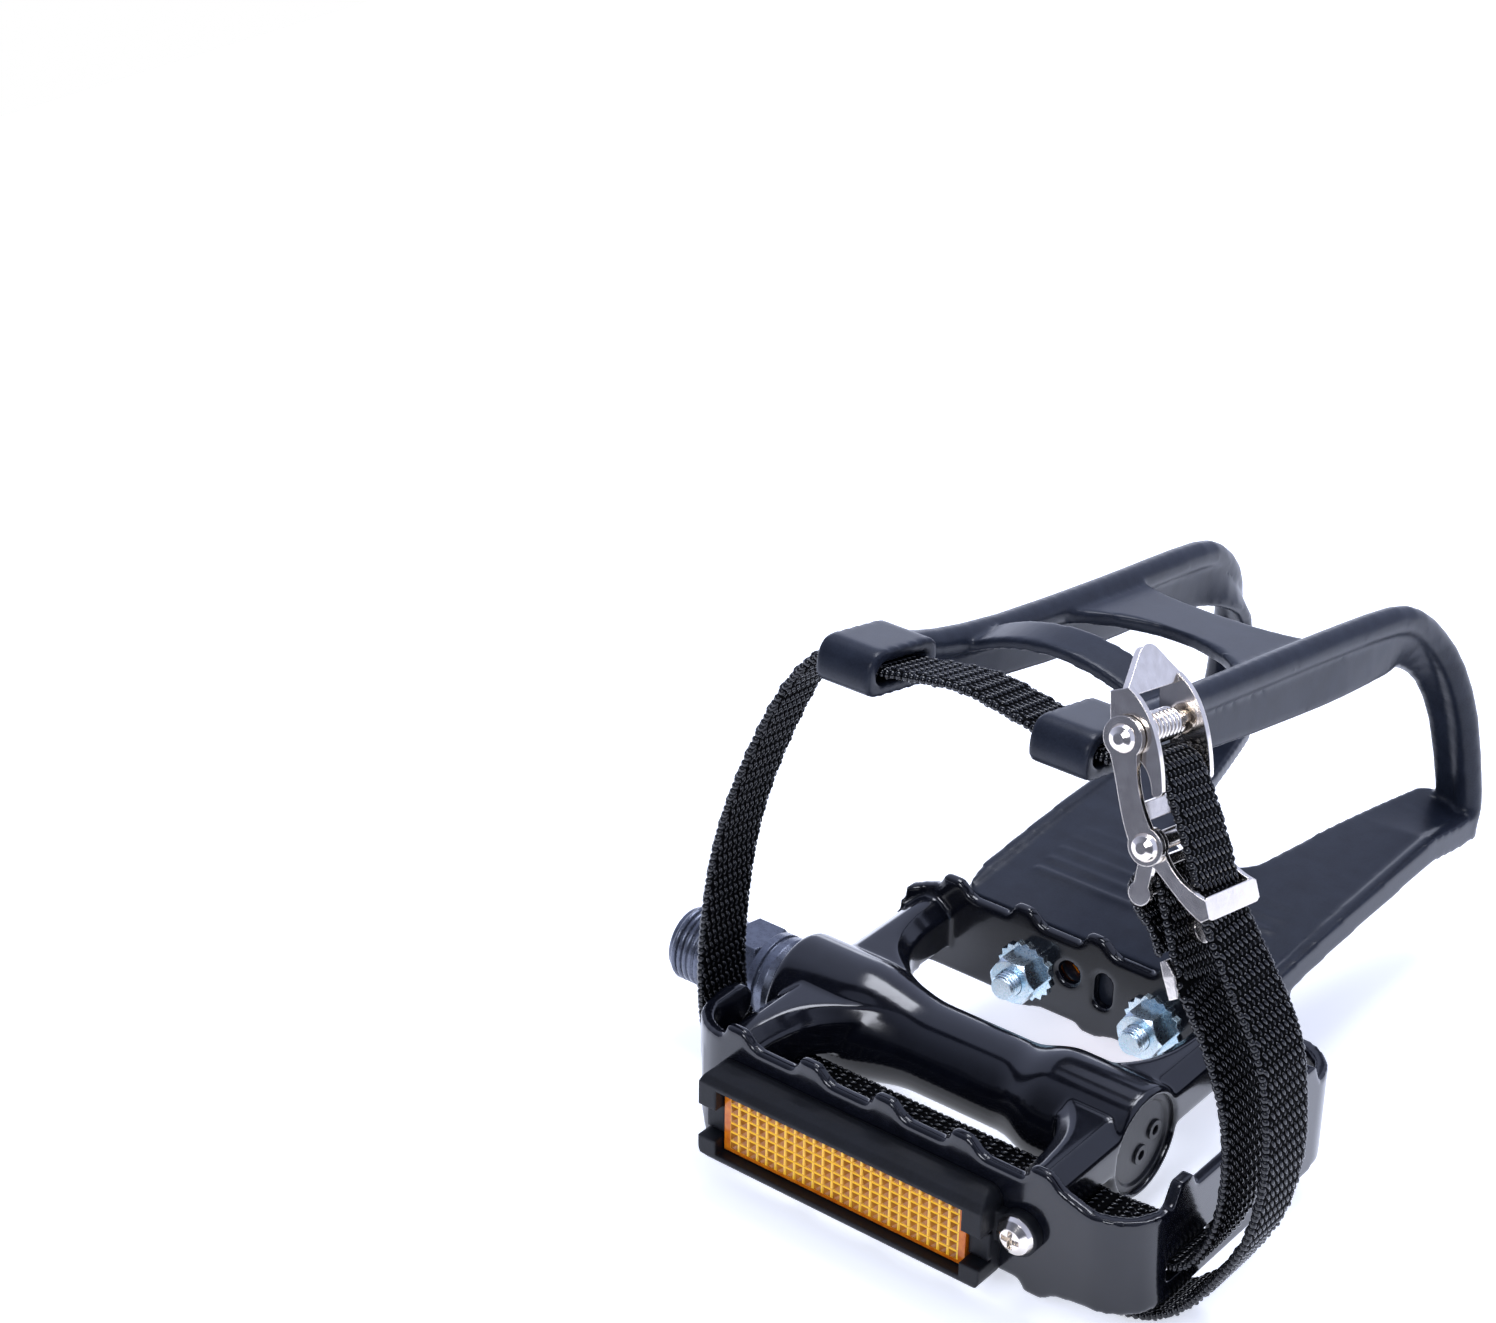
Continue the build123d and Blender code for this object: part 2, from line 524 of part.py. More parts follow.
def make_toe_clip():
    front = CLIP_REACH + 1.2
    half = SOLE_HALF
    notch = (half * 0.3, front * 0.607)
    waist = (half * 0.445, front * 0.81)
    toe = (half * 0.59, front * 0.97)
    plan = [
        Line((-half + 4, CAGE_HALF), (half - 4, CAGE_HALF)),
        Spline((half - 4, CAGE_HALF), (half - 1, CAGE_HALF + 4), (half, CAGE_HALF + 12), tangents=((1, 0.3), (0, 1))),
        Line((half, CAGE_HALF + 12), (half, front - 2.5)),
        Line((half, front - 2.5), (half - 2.5, front)),
        Line((half - 2.5, front), (half * 0.72, front)),
        Line((half * 0.72, front), toe),
        Spline(toe, waist, notch),
        ThreePointArc(notch, (0, front * 0.555), (-notch[0], notch[1])),
        Spline((-notch[0], notch[1]), (-waist[0], waist[1]), (-toe[0], toe[1])),
        Line((-toe[0], toe[1]), (-half * 0.72, front)),
        Line((-half * 0.72, front), (-half + 2.5, front)),
        Line((-half + 2.5, front), (-half, front - 2.5)),
        Line((-half, front - 2.5), (-half, CAGE_HALF + 12)),
        Spline((-half, CAGE_HALF + 12), (-half + 1, CAGE_HALF + 4), (-half + 4, CAGE_HALF), tangents=((0, -1), (1, -0.3))),
    ]
    column = extrude(Pos(CAGE_X, 0, -10) * make_face(plan), amount=40)

    split = CLIP_REACH * 0.64
    over = [(CAGE_HALF - 1, 10.4), (CAGE_HALF + 8, 11.0), (CAGE_HALF + 24, 12.2), (split, 13.0)]
    under = [(y, z - SOLE_T) for y, z in over]
    slab = make_face([
        Spline(*over),
        Line(over[-1], under[-1]),
        Spline(*reversed(under)),
        Line(under[0], over[0]),
    ])
    plate = across_x(slab, CAGE_X - half - 2, 2 * half + 4)
    crest = [(y, z + RIM_UP) for y, z in over]
    hem = [(y, z - RIM_DOWN) for y, z in under]
    edge = make_face([
        Spline(*crest),
        Line(crest[-1], hem[-1]),
        Spline(*reversed(hem)),
        Line(hem[0], crest[0]),
    ])
    lip = across_x(edge, CAGE_X + half - RIM_WIDE, RIM_WIDE + 2)

    faces = []
    stations = [
        (0.63, 9.0, 13.0, 13.0),
        (0.733, 11.2, 13.2, 13.4),
        (0.835, 13.8, 13.4, 13.8),
        (0.925, 16.2, 13.6, 11.8),
        (1.02, 18.6, 13.8, 10.6),
    ]
    for share, inner, z_in, z_out in stations:
        fall = (z_out - z_in) / (SOLE_HALF - inner)
        edge = half - RIM_WIDE
        low = -SOLE_T
        deep = -SOLE_T - RIM_DOWN
        line = []
        for h, up in (
            (inner - 3, 0), (edge - 0.4, 0), (edge, RIM_UP), (half + 2, RIM_UP),
            (half + 2, deep), (edge, deep), (edge - 0.4, low), (inner - 3, low),
        ):
            line.append((h, z_in + fall * (h - inner) + up))
        plane = Plane(origin=(CAGE_X, CLIP_REACH * share, 0), x_dir=(1, 0, 0), z_dir=(0, -1, 0))
        faces.append(plane * make_face(Polyline(*line, close=True)))
    horn = loft(faces, ruled=True) + lip
    mirror_plane = Plane.YZ.offset(CAGE_X)
    sole = column & (plate + horn + mirror(horn, about=mirror_plane))

    rail = [(CAGE_HALF + 13 + s * 4.0) for s in range(5)]
    for y in rail:
        z = 11.0 + (y - CAGE_HALF) * 0.052
        sole += block(CAGE_X - half * 0.72, CAGE_X + half * 0.72, y - 0.5, y + 0.5, z - 1.2, z + 0.1)

    wide = half - 6
    flange = make_face(Polyline(
        (-half + 3, 9.0),
        (-half + 3, 4.0),
        (-wide, -3.0),
        (-wide + 4, -6.0),
        (wide - 4, -6.0),
        (wide, -3.0),
        (half - 3, 4.0),
        (half - 3, 9.0),
        close=True,
    ))
    plane = Plane(origin=(CAGE_X, FLANGE_Y, 0), x_dir=(1, 0, 0), z_dir=(0, -1, 0))
    flange = extrude(plane * flange, amount=FLANGE_T)
    gusset = [(FLANGE_Y - 0.5, 3.0), (FLANGE_Y - 0.5, 9.2), (FLANGE_Y + 12.2, 9.6), (FLANGE_Y + 12.2, 2.1)]
    ribs = outline_yz(gusset, CAGE_X + half - 3.4, CAGE_X + half - 0.4)
    ribs += outline_yz(gusset, CAGE_X - half + 0.4, CAGE_X - half + 3.4)

    side = make_clip_side()
    loop = make_clip_loop()

    rows = side_sections()
    rear = rows[10]
    fore = rows[8]
    slope = (fore[2] - rear[2]) / (fore[1] - rear[1])

    def roof(y):
        return rear[2] + slope * (y - rear[1])

    edge = fore[0]
    y0 = CLIP_REACH * 0.3
    y1 = CLIP_REACH * 0.43
    y2 = CLIP_REACH * 0.55
    y3 = CLIP_REACH * 0.585
    deck = make_face([
        ThreePointArc((-edge, y0), (0, y1), (edge, y0)),
        Line((edge, y0), (edge, y3)),
        ThreePointArc((edge, y3), (0, y2), (-edge, y3)),
        Line((-edge, y3), (-edge, y0)),
    ])
    deck = extrude(Pos(CAGE_X, 0, 0) * deck, amount=CLIP_HEIGHT + 20)
    roof_line = [
        (y0 - 3, roof(y0 - 3) + 0.4),
        (y3 + 3, roof(y3 + 3) + 0.4),
        (y3 + 3, roof(y3 + 3) - 2.2),
        (y0 - 3, roof(y0 - 3) - 2.2),
    ]
    deck = deck & outline_yz(roof_line, CAGE_X - half, CAGE_X + half)

    band_y = CLIP_REACH * 0.14
    band_z = roof(band_y)
    band = make_face([
        ThreePointArc((-edge, band_z), (0, band_z + 6.4), (edge, band_z)),
        Line((edge, band_z), (edge, band_z - 2.2)),
        ThreePointArc((edge, band_z - 2.2), (0, band_z + 4.2), (-edge, band_z - 2.2)),
        Line((-edge, band_z - 2.2), (-edge, band_z)),
    ])
    plane = Plane(origin=(CAGE_X, band_y + 4.3, 0), x_dir=(1, 0, 0), z_dir=(0, -1, 0))
    band = extrude(plane * band, amount=8.6)

    clip = sole + flange + ribs
    clip += side
    clip += mirror(side, about=mirror_plane)
    clip += loop
    clip += mirror(loop, about=mirror_plane)
    clip += deck
    clip += band
    for x in BOLT_X:
        clip -= rod_y(x, CAGE_HALF - 1, BOLT_Z, BOLT_DIA / 2 + HOLE, FLANGE_T + 2)
    clip -= rod_y(CAGE_X - 4.8, CAGE_HALF - 1, 3.5, 2.5, FLANGE_T + 2)
    return clip


# Front reflector: amber moulding ahead of the flange, held by the clip bolts.
EAR_Y = FLANGE_Y + 1.8


def make_front_reflector():
    ears = block(BOLT_X[0] - 5, BOLT_X[1] + 5, FLANGE_Y, EAR_Y, BOLT_Z - 4.6, BOLT_Z + 4.6)
    face = block(BOLT_X[0] + 5.2, BOLT_X[1] - 5.2, FLANGE_Y, FLANGE_Y + 4.6, BOLT_Z - 5.0, BOLT_Z + 5.0)
    part = ears + face
    for x in BOLT_X:
        part -= rod_y(x, FLANGE_Y - 1, BOLT_Z, BOLT_DIA / 2 + HOLE, 4)
    return part


# Clip bolts, nuts and washers: zinc plated, nuts inside the cage.
WASHER_Y = CAGE_IN - 0.7
NUT_Y = WASHER_Y - 4.6


def make_clip_bolts():
    bolts = []
    for x in BOLT_X:
        shank = rod_y(x, NUT_Y - 2.8, BOLT_Z, BOLT_DIA / 2, EAR_Y - NUT_Y + 3.5)
        head = rod_y(x, EAR_Y, BOLT_Z, BOLT_DIA * 0.85, 2.8)
        bolts.append(shank + head)
    return Compound(children=bolts)


def make_clip_nuts():
    nuts = []
    for x in BOLT_X:
        plane = Plane(origin=(x, NUT_Y, BOLT_Z), x_dir=(1, 0, 0), z_dir=(0, 1, 0))
        nut = extrude(plane * RegularPolygon(BOLT_DIA * 0.82, 6, major_radius=False), amount=WASHER_Y - NUT_Y)
        cap = Polyline((0, 0), (BOLT_DIA * 0.82, 0), (BOLT_DIA, 0.9), (BOLT_DIA, 9), (0, 9), close=True)
        nut = nut & (Pos(x, NUT_Y, BOLT_Z) * revolve(make_face(cap), Axis.Y, 360))
        nuts.append(nut - rod_y(x, NUT_Y - 1, BOLT_Z, BOLT_DIA / 2 + RUN, 8))
    return Compound(children=nuts)


def make_clip_washers():
    washers = []
    for x in BOLT_X:
        plane = Plane(origin=(x, WASHER_Y, BOLT_Z), x_dir=(1, 0, 0), z_dir=(0, 1, 0))
        rim = []
        for i in range(36):
            radius = WASHER_R if i % 2 else WASHER_R * 0.89
            rim.append((radius * math.cos(math.tau * i / 36), radius * math.sin(math.tau * i / 36)))
        washer = extrude(plane * make_face(Polyline(*rim, close=True)), amount=CAGE_IN - WASHER_Y)
        washers.append(washer - rod_y(x, WASHER_Y - 1, BOLT_Z, BOLT_DIA / 2 + HOLE, 3))
    return Compound(children=washers)


# Buckle frame of reference: x along the pins, y up the strap, z outward.
LOOP_END = CAGE_X + LOOP_H + LOOP_WIDE / 2
BUCKLE = Plane(
    origin=(LOOP_END + 5.7, LOOP_Y, LOOP_Z + 6.0),
    x_dir=(0, 0.976, -0.218),
    z_dir=(0.900, 0.095, 0.425),
)
LOWER = -16.8
GAP_IN = STRAP_WIDTH / 2 + 0.45
ARM_OUT = GAP_IN + SHEET
CHEEK_IN = ARM_OUT + 0.3
CHEEK_OUT = CHEEK_IN + SHEET
PIN_R = 1.5
BAR_Y = LOWER - 7.1
BAR_Z = -3.6
KEEP_Y = LOWER - 10.7
KEEP_Z = 6.5
COIL_R = 2.6


def on_buckle(shape):
    return BUCKLE.location * shape


def sheet_pair(sketch, inner, outer):
    right = across_x(sketch, inner, outer - inner)
    left = across_x(sketch, -outer, outer - inner)
    return right, left


# Buckle frame: two pressed cheeks, one cross web between them.
def make_buckle_frame():
    waist = make_face([
        Spline((0, 3.0), (LOWER * 0.25, 1.5), (LOWER * 0.5, 0.9), (LOWER * 0.78, 1.3), (LOWER, 2.4)),
        Line((LOWER, 2.4), (LOWER, -2.4)),
        Spline((LOWER, -2.4), (LOWER * 0.75, -2.9), (LOWER * 0.3, -2.7), (0, -3.0)),
        Line((0, -3.0), (0, 3.0)),
    ])
    cheek = waist + Circle(3.4) + Pos(LOWER, 0) * Circle(3.0)
    right, left = sheet_pair(cheek, CHEEK_IN, CHEEK_OUT)
    web = block(-CHEEK_IN - 0.2, CHEEK_IN + 0.2, LOWER * 0.81, LOWER * 0.64, -3.0, -3.0 + SHEET)
    frame = right + left + web
    for y in (0, LOWER):
        frame -= rod_x(-20, y, 0, PIN_R + RUN, 40)
    return on_buckle(frame)


# Pins: round steel with domed heads outside the cheeks.
def make_pin(y):
    head = CHEEK_OUT + 1.3
    line = [
        (-head, 0), (-head, 0.9), (-head + 0.5, 1.9), (-CHEEK_OUT, 2.3), (-CHEEK_OUT, PIN_R),
        (CHEEK_OUT, PIN_R), (CHEEK_OUT, 2.3), (head - 0.5, 1.9), (head, 0.9), (head, 0),
    ]
    return on_buckle(Pos(0, y, 0) * turned(line))


# Spring: close coils on the upper pin, drawn as one grooved sleeve.
def make_spring():
    coils = 7
    wide = GAP_IN - 1.2
    pitch = 2 * wide / coils
    low = PIN_R + 0.25
    line = [(-wide, low)]
    for i in range(coils):
        x = -wide + pitch * i
        line += [(x, COIL_R - 0.45), (x + pitch * 0.25, COIL_R), (x + pitch * 0.75, COIL_R)]
    line += [(wide, COIL_R - 0.45), (wide, low)]
    return on_buckle(turned(line))


# Lever: pressed sheet, rounded thumb tab over two bowed arms on the upper pin.
def make_lever():
    bow = [
        Spline((7.2, 1.9), (3.6, 4.0), (-1.0, 4.8), (-5.0, 4.7), (-9.2, 4.0)),
        ThreePointArc((-9.2, 4.0), (-9.8, 3.1), (-9.2, 2.2)),
        Spline((-9.2, 2.2), (-5.2, 2.0), (-2.6, 0.2)),
        Line((-2.6, 0.2), (0, -3.0)),
        Line((0, -3.0), (7.2, -1.3)),
        Line((7.2, -1.3), (7.2, 1.9)),
    ]
    arm = make_face(bow) + Circle(3.0)
    right, left = sheet_pair(arm, GAP_IN, ARM_OUT)
    base = 5.8
    tip = 12.7
    tab = make_face([
        Line((-ARM_OUT, base), (ARM_OUT, base)),
        Line((ARM_OUT, base), (ARM_OUT, base + 1.2)),
        Line((ARM_OUT, base + 1.2), (2.4, tip - 0.8)),
        ThreePointArc((2.4, tip - 0.8), (0, tip), (-2.4, tip - 0.8)),
        Line((-2.4, tip - 0.8), (-ARM_OUT, base + 1.2)),
        Line((-ARM_OUT, base + 1.2), (-ARM_OUT, base)),
    ])
    tab = extrude(Pos(0, 0, 0.8) * tab, amount=SHEET)
    lever = right + left + tab
    lever -= rod_x(-20, 0, 0, PIN_R + RUN, 40)
    return on_buckle(lever)


# Keeper: pressed stirrup on the lower pin. One bar holds the sewn strap loop,
# a flat crosspiece ties the legs, and the long arms reach outward to a flat
# bar that holds down the free strand.
def make_keeper():
    hub = Pos(LOWER, 0) * Circle(2.7)
    drop = make_face(Polyline(
        (LOWER + 0.6, -1.2), (LOWER - 0.6, 1.2), (BAR_Y - 0.6, BAR_Z + 1.1), (BAR_Y + 0.6, BAR_Z - 1.1), close=True,
    ))
    drop += Pos(BAR_Y, BAR_Z) * Circle(1.9)
    top = KEEP_Z + SHEET
    reach = make_face([
        Spline((LOWER + 0.8, 2.2), (LOWER - 3.2, 2.7), (LOWER - 6.6, 4.6), (KEEP_Y + 1.4, top)),
        Line((KEEP_Y + 1.4, top), (KEEP_Y - 1.4, top)),
        Line((KEEP_Y - 1.4, top), (KEEP_Y - 1.8, KEEP_Z - 0.4)),
        Spline((KEEP_Y - 1.8, KEEP_Z - 0.4), (LOWER - 8.0, 2.6), (LOWER - 4.6, 0.6), (LOWER - 2.0, -1.2)),
        Line((LOWER - 2.0, -1.2), (LOWER + 0.8, 2.2)),
    ])
    right, left = sheet_pair(hub + drop + reach, GAP_IN, ARM_OUT)
    bar = rod_x(-GAP_IN - 0.2, BAR_Y, BAR_Z, 1.2, 2 * GAP_IN + 0.4)
    plate = Pos(0, KEEP_Y, KEEP_Z) * RectangleRounded(2 * ARM_OUT, 3.6, 1.2)
    flat = extrude(plate, amount=SHEET)
    cross = block(-GAP_IN - 0.2, GAP_IN + 0.2, LOWER - 3.7, LOWER - 2.1, 0.2, 0.2 + SHEET)
    keeper = right + left + bar + flat + cross
    keeper -= rod_x(-20, LOWER, 0, PIN_R + RUN, 40)
    return on_buckle(keeper)


# Strap: one woven ribbon. It starts at the sewn end on the keeper bar, goes
# down through the wall slot, under the arms, up the crank side, through both
# loops of the clip, under the spring and down through the keeper to its tail.
FOLD_R = 1.2 + 0.4 + STRAP_THICK / 2
PIN_AXIS = BUCKLE.x_dir


def at_buckle(u, n):
    return BUCKLE.from_local_coords(Vector(0, -u, n))


def strap_stations():
    flat = Vector(0, 1, 0)
    tilt = Vector(0, math.cos(math.radians(LOOP_TILT)), math.sin(math.radians(LOOP_TILT)))
    pin = PIN_AXIS
    bar_u = -BAR_Y
    keep_u = -KEEP_Y
    keep_n = KEEP_Z - FREE - STRAP_THICK / 2
    end_x = CAGE_END - PLATE / 2
    left_in = CAGE_X - LOOP_H - LOOP_WIDE / 2
    left_out = CAGE_X - LOOP_H + LOOP_WIDE / 2
    right_in = CAGE_X + LOOP_H - LOOP_WIDE / 2
    y = LOOP_Y
    z = LOOP_Z
    sewn = [
        (at_buckle(bar_u + 10.0, BAR_Z + 0.1), pin),
        (at_buckle(bar_u + 6.0, BAR_Z - 0.4), pin),
        (at_buckle(bar_u + 2.8, BAR_Z - FOLD_R * 0.8), pin),
        (at_buckle(bar_u, BAR_Z - FOLD_R), pin),
        (at_buckle(bar_u - FOLD_R * 0.71, BAR_Z - FOLD_R * 0.71), pin),
        (at_buckle(bar_u - FOLD_R, BAR_Z), pin),
        (at_buckle(bar_u - FOLD_R * 0.71, BAR_Z + FOLD_R * 0.71), pin),
        (at_buckle(bar_u, BAR_Z + FOLD_R), pin),
        (at_buckle(bar_u + 4.2, BAR_Z + FOLD_R), pin),
        (at_buckle(bar_u + 8.4, BAR_Z + FOLD_R), pin),
        (at_buckle(bar_u + 10.9, BAR_Z + FOLD_R), pin),
        (at_buckle(bar_u + 13.2, BAR_Z + FOLD_R), pin),
        (at_buckle(bar_u + 15.5, BAR_Z + FOLD_R), pin),
    ]
    rest = [
        (Vector(end_x + 1.4, SLOT_Y - 1.5, z - 32.5), flat),
        (Vector(end_x + 4.2, SLOT_Y - 1.3, z - 37.6), flat),
        (Vector(end_x + 7.6, SLOT_Y - 0.9, z * 0.393), flat),
        (Vector(end_x + 8.9, SLOT_Y - 0.5, z * 0.255), flat),
        (Vector(end_x + 8.0, SLOT_Y - 0.2, z * 0.108), flat),
        (Vector(end_x + 5.0, SLOT_Y, STRAP_Z + 4.0), flat),
        (Vector(end_x + 2.4, SLOT_Y, STRAP_Z + 1.0), flat),
        (Vector(end_x - 0.6, SLOT_Y, STRAP_Z), flat),
        (Vector(end_x - 8, SLOT_Y - 0.5, STRAP_Z), flat),
        (Vector(BARREL_END, STRAP_Y + 0.5, STRAP_Z), flat),
        (Vector(CAGE_X, STRAP_Y, STRAP_Z), flat),
        (Vector(ARM_INNER, STRAP_Y, STRAP_Z), flat),
        (Vector(CAGE_START + 4.2, STRAP_Y, STRAP_Z + 0.1), flat),
        (Vector(CAGE_START + 1.2, STRAP_Y, STRAP_Z + 1.0), flat),
        (Vector(CAGE_START - 1.2, STRAP_Y, STRAP_Z + 4.4), flat),
        (Vector(CAGE_START - 2.4, STRAP_Y, STRAP_Z + 9.0), flat),
        (Vector(CAGE_START - 2.8, STRAP_Y + 0.2, z * 0.232), flat),
        (Vector(CAGE_START - 2.0, STRAP_Y + 2.0, z * 0.451), flat),
        (Vector(CAGE_START + 1.0, STRAP_Y + 4.2, z * 0.644), flat),
        (Vector(CAGE_START + 7.0, y - 1.2, z - 11), flat),
        (Vector(left_in - 4.6, y - 0.3, z - 3.4), tilt),
        (Vector(left_in - 0.6, y, z - 0.2), tilt),
        (Vector(left_in + 3, y, z), tilt),
        (Vector(left_out - 1.5, y, z), tilt),
        (Vector(left_out + 5, y, z + 1.2), tilt),
        (Vector(CAGE_X, y, z + 2.6), tilt),
        (Vector(right_in - 5, y, z + 1.2), tilt),
        (Vector(right_in + 1.5, y, z), tilt),
        (Vector(LOOP_END - 1.5, y, z + 0.1), tilt),
        (at_buckle(COIL_R + 1.6, -3.2), pin),
        (at_buckle(COIL_R + 1.5, 0.2), pin),
        (at_buckle(COIL_R + 2.7, 2.4), pin),
        (at_buckle(8.0, 3.6), pin),
        (at_buckle(12.6, 4.4), pin),
        (at_buckle(17.6, 4.9), pin),
        (at_buckle(keep_u - 5.0, keep_n), pin),
        (at_buckle(keep_u, keep_n), pin),
        (Vector(end_x + 5.9, SLOT_Y + 0.6, z - 26.2), flat),
        (Vector(end_x + 10.4, SLOT_Y + 0.3, z * 0.577), flat),
        (Vector(end_x + 13.4, SLOT_Y, z * 0.492), flat),
        (Vector(end_x + 15.3, SLOT_Y - 0.3, z * 0.348), flat),
        (Vector(end_x + 15.4, SLOT_Y - 0.5, z * 0.232), flat),
        (Vector(end_x + 13.6, SLOT_Y - 0.8, z * 0.103), flat),
        (Vector(end_x + 9.0, SLOT_Y - 1.0, -1.5), flat),
        (Vector(end_x + 3.9, SLOT_Y - 1.3, -9.0), flat),
        (Vector(end_x - 2.0, SLOT_Y - 1.4, -13.6), flat),
        (Vector(end_x - 9.0, SLOT_Y - 1.5, -15.4), flat),
    ]
    return sewn, rest


def strap_frames():
    sewn, rest = strap_stations()
    rows = sewn + rest
    places = [r[0] for r in rows]
    sides = [r[1] for r in rows]
    last = len(rows) - 1
    path = []
    for i in range(last):
        four = [places[max(i - 1, 0)], places[i], places[i + 1], places[min(i + 2, last)]]
        steps = 2 if (places[i + 1] - places[i]).length > 5 else 1
        for k in range(steps):
            t = k / steps
            clasped = i < len(sewn) <= i + 3 and t == 0
            path.append((clasped, between(*four, t), sides[i] * (1 - t) + sides[i + 1] * t))
    path.append((False, places[last], sides[last]))
    frames = []
    for i, (clasped, place, side) in enumerate(path):
        before = path[max(i - 1, 0)][1]
        after = path[min(i + 1, len(path) - 1)][1]
        along = (after - before).normalized()
        wide = (side - along * side.dot(along)).normalized()
        frames.append((clasped, Plane(origin=place, x_dir=wide, z_dir=along)))
    return frames


def make_strap():
    faces = [plane * Rectangle(STRAP_WIDTH, STRAP_THICK) for clasped, plane in strap_frames()]
    strap = loft(faces, ruled=True)
    return strap - make_rivet_hole()


# End clip: bright sheet channel under the sewn end of the strap. Its two lips
# rise in a curve beside the ribbon.
CLASP_T = 0.5


def make_end_clip():
    planes = [plane for clasped, plane in strap_frames() if clasped]
    side = STRAP_WIDTH / 2 + FREE
    low = -STRAP_THICK / 2 - FREE
    faces = []
    for i, plane in enumerate(planes):
        top = low + 0.3 + 1.2 * math.sin(math.pi * (i + 0.3) / len(planes))
        line = [
            (-side - CLASP_T, low - CLASP_T),
            (side + CLASP_T, low - CLASP_T),
            (side + CLASP_T, top),
            (side, top),
            (side, low),
            (-side, low),
            (-side, top),
            (-side - CLASP_T, top),
        ]
        faces.append(plane * make_face(Polyline(*line, close=True)))
    return loft(faces, ruled=True)


RIVET_U = -BAR_Y + 7.4
RIVET_R = 1.4


def make_rivet_hole():
    plane = Plane(origin=at_buckle(RIVET_U, BAR_Z - 12), x_dir=BUCKLE.x_dir, z_dir=BUCKLE.z_dir)
    return extrude(plane * Circle(RIVET_R + HOLE), amount=12 + FOLD_R + STRAP_THICK)


def make_rivet():
    mid = BAR_Z + FOLD_R / 2 - 0.05
    span = FOLD_R / 2 + STRAP_THICK / 2 + 1.05
    shank = Plane(origin=at_buckle(RIVET_U, mid - span), x_dir=BUCKLE.x_dir, z_dir=BUCKLE.z_dir)
    rivet = extrude(shank * Circle(RIVET_R), amount=2 * span)
    for n in (mid - span - 0.8, mid + span):
        place = Plane(origin=at_buckle(RIVET_U, n), x_dir=BUCKLE.x_dir, z_dir=BUCKLE.z_dir)
        rivet += extrude(place * Circle(RIVET_R + 1.0), amount=0.8)
    return rivet


pieces = {
    "spindle": make_spindle(),
    "outer_cone": make_outer_cone(),
    "lock_washer": make_lock_washer(),
    "lock_nut": make_lock_nut(),
    "pedal_body": make_pedal_body(),
    "inner_seal": make_inner_seal(),
    "inner_cup": make_inner_cup(),
    "inner_balls": ball_ring(IN_X, IN_R, 12),
    "outer_cup": make_outer_cup(),
    "outer_balls": ball_ring(OUT_X, OUT_R, 10),
    "dust_cap": make_dust_cap(),
    "rear_reflector_housing": make_rear_housing(),
    "rear_reflector_lens": make_rear_lens(),
    "rear_reflector_screw": make_rear_screw(),
    "front_reflector": make_front_reflector(),
    "toe_clip": make_toe_clip(),
    "clip_bolts": make_clip_bolts(),
    "clip_nuts": make_clip_nuts(),
    "clip_washers": make_clip_washers(),
    "strap": make_strap(),
    "strap_rivet": make_rivet(),
    "strap_end_clip": make_end_clip(),
    "buckle_frame": make_buckle_frame(),
    "buckle_upper_pin": make_pin(0),
    "buckle_lower_pin": make_pin(LOWER),
    "buckle_spring": make_spring(),
    "buckle_lever": make_lever(),
    "buckle_keeper": make_keeper(),
}

os.makedirs("parts", exist_ok=True)
for name, piece in pieces.items():
    export_step(piece, "parts/" + name + ".step")
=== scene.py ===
import json
import math

import bmesh
import bpy
from mathutils import Matrix, Vector


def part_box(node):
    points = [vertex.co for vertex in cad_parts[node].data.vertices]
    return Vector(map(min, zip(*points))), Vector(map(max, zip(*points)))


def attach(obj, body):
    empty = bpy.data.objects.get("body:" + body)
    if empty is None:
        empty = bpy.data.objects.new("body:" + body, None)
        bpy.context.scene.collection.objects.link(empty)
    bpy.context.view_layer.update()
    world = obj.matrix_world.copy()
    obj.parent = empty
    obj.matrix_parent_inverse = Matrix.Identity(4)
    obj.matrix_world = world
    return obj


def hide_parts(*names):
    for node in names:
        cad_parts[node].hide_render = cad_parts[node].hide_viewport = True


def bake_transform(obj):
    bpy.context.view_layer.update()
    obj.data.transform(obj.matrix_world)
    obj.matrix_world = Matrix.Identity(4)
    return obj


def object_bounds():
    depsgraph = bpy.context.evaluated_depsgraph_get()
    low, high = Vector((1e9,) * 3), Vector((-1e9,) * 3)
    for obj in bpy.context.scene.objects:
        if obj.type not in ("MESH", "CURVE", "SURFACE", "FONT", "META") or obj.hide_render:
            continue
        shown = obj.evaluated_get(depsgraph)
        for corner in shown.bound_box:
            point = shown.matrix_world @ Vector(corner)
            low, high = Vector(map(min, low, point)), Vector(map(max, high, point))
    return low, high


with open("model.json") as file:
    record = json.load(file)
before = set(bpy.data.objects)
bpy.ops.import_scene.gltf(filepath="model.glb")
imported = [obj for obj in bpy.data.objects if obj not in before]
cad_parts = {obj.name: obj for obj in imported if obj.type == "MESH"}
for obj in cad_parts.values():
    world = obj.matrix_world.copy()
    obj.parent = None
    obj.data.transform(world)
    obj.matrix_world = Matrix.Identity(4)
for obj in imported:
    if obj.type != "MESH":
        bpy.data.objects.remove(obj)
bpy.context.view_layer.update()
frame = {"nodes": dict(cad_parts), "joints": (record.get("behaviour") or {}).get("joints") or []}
nodes = frame["nodes"]
scene = bpy.context.scene
scene.view_settings.view_transform = "Standard"


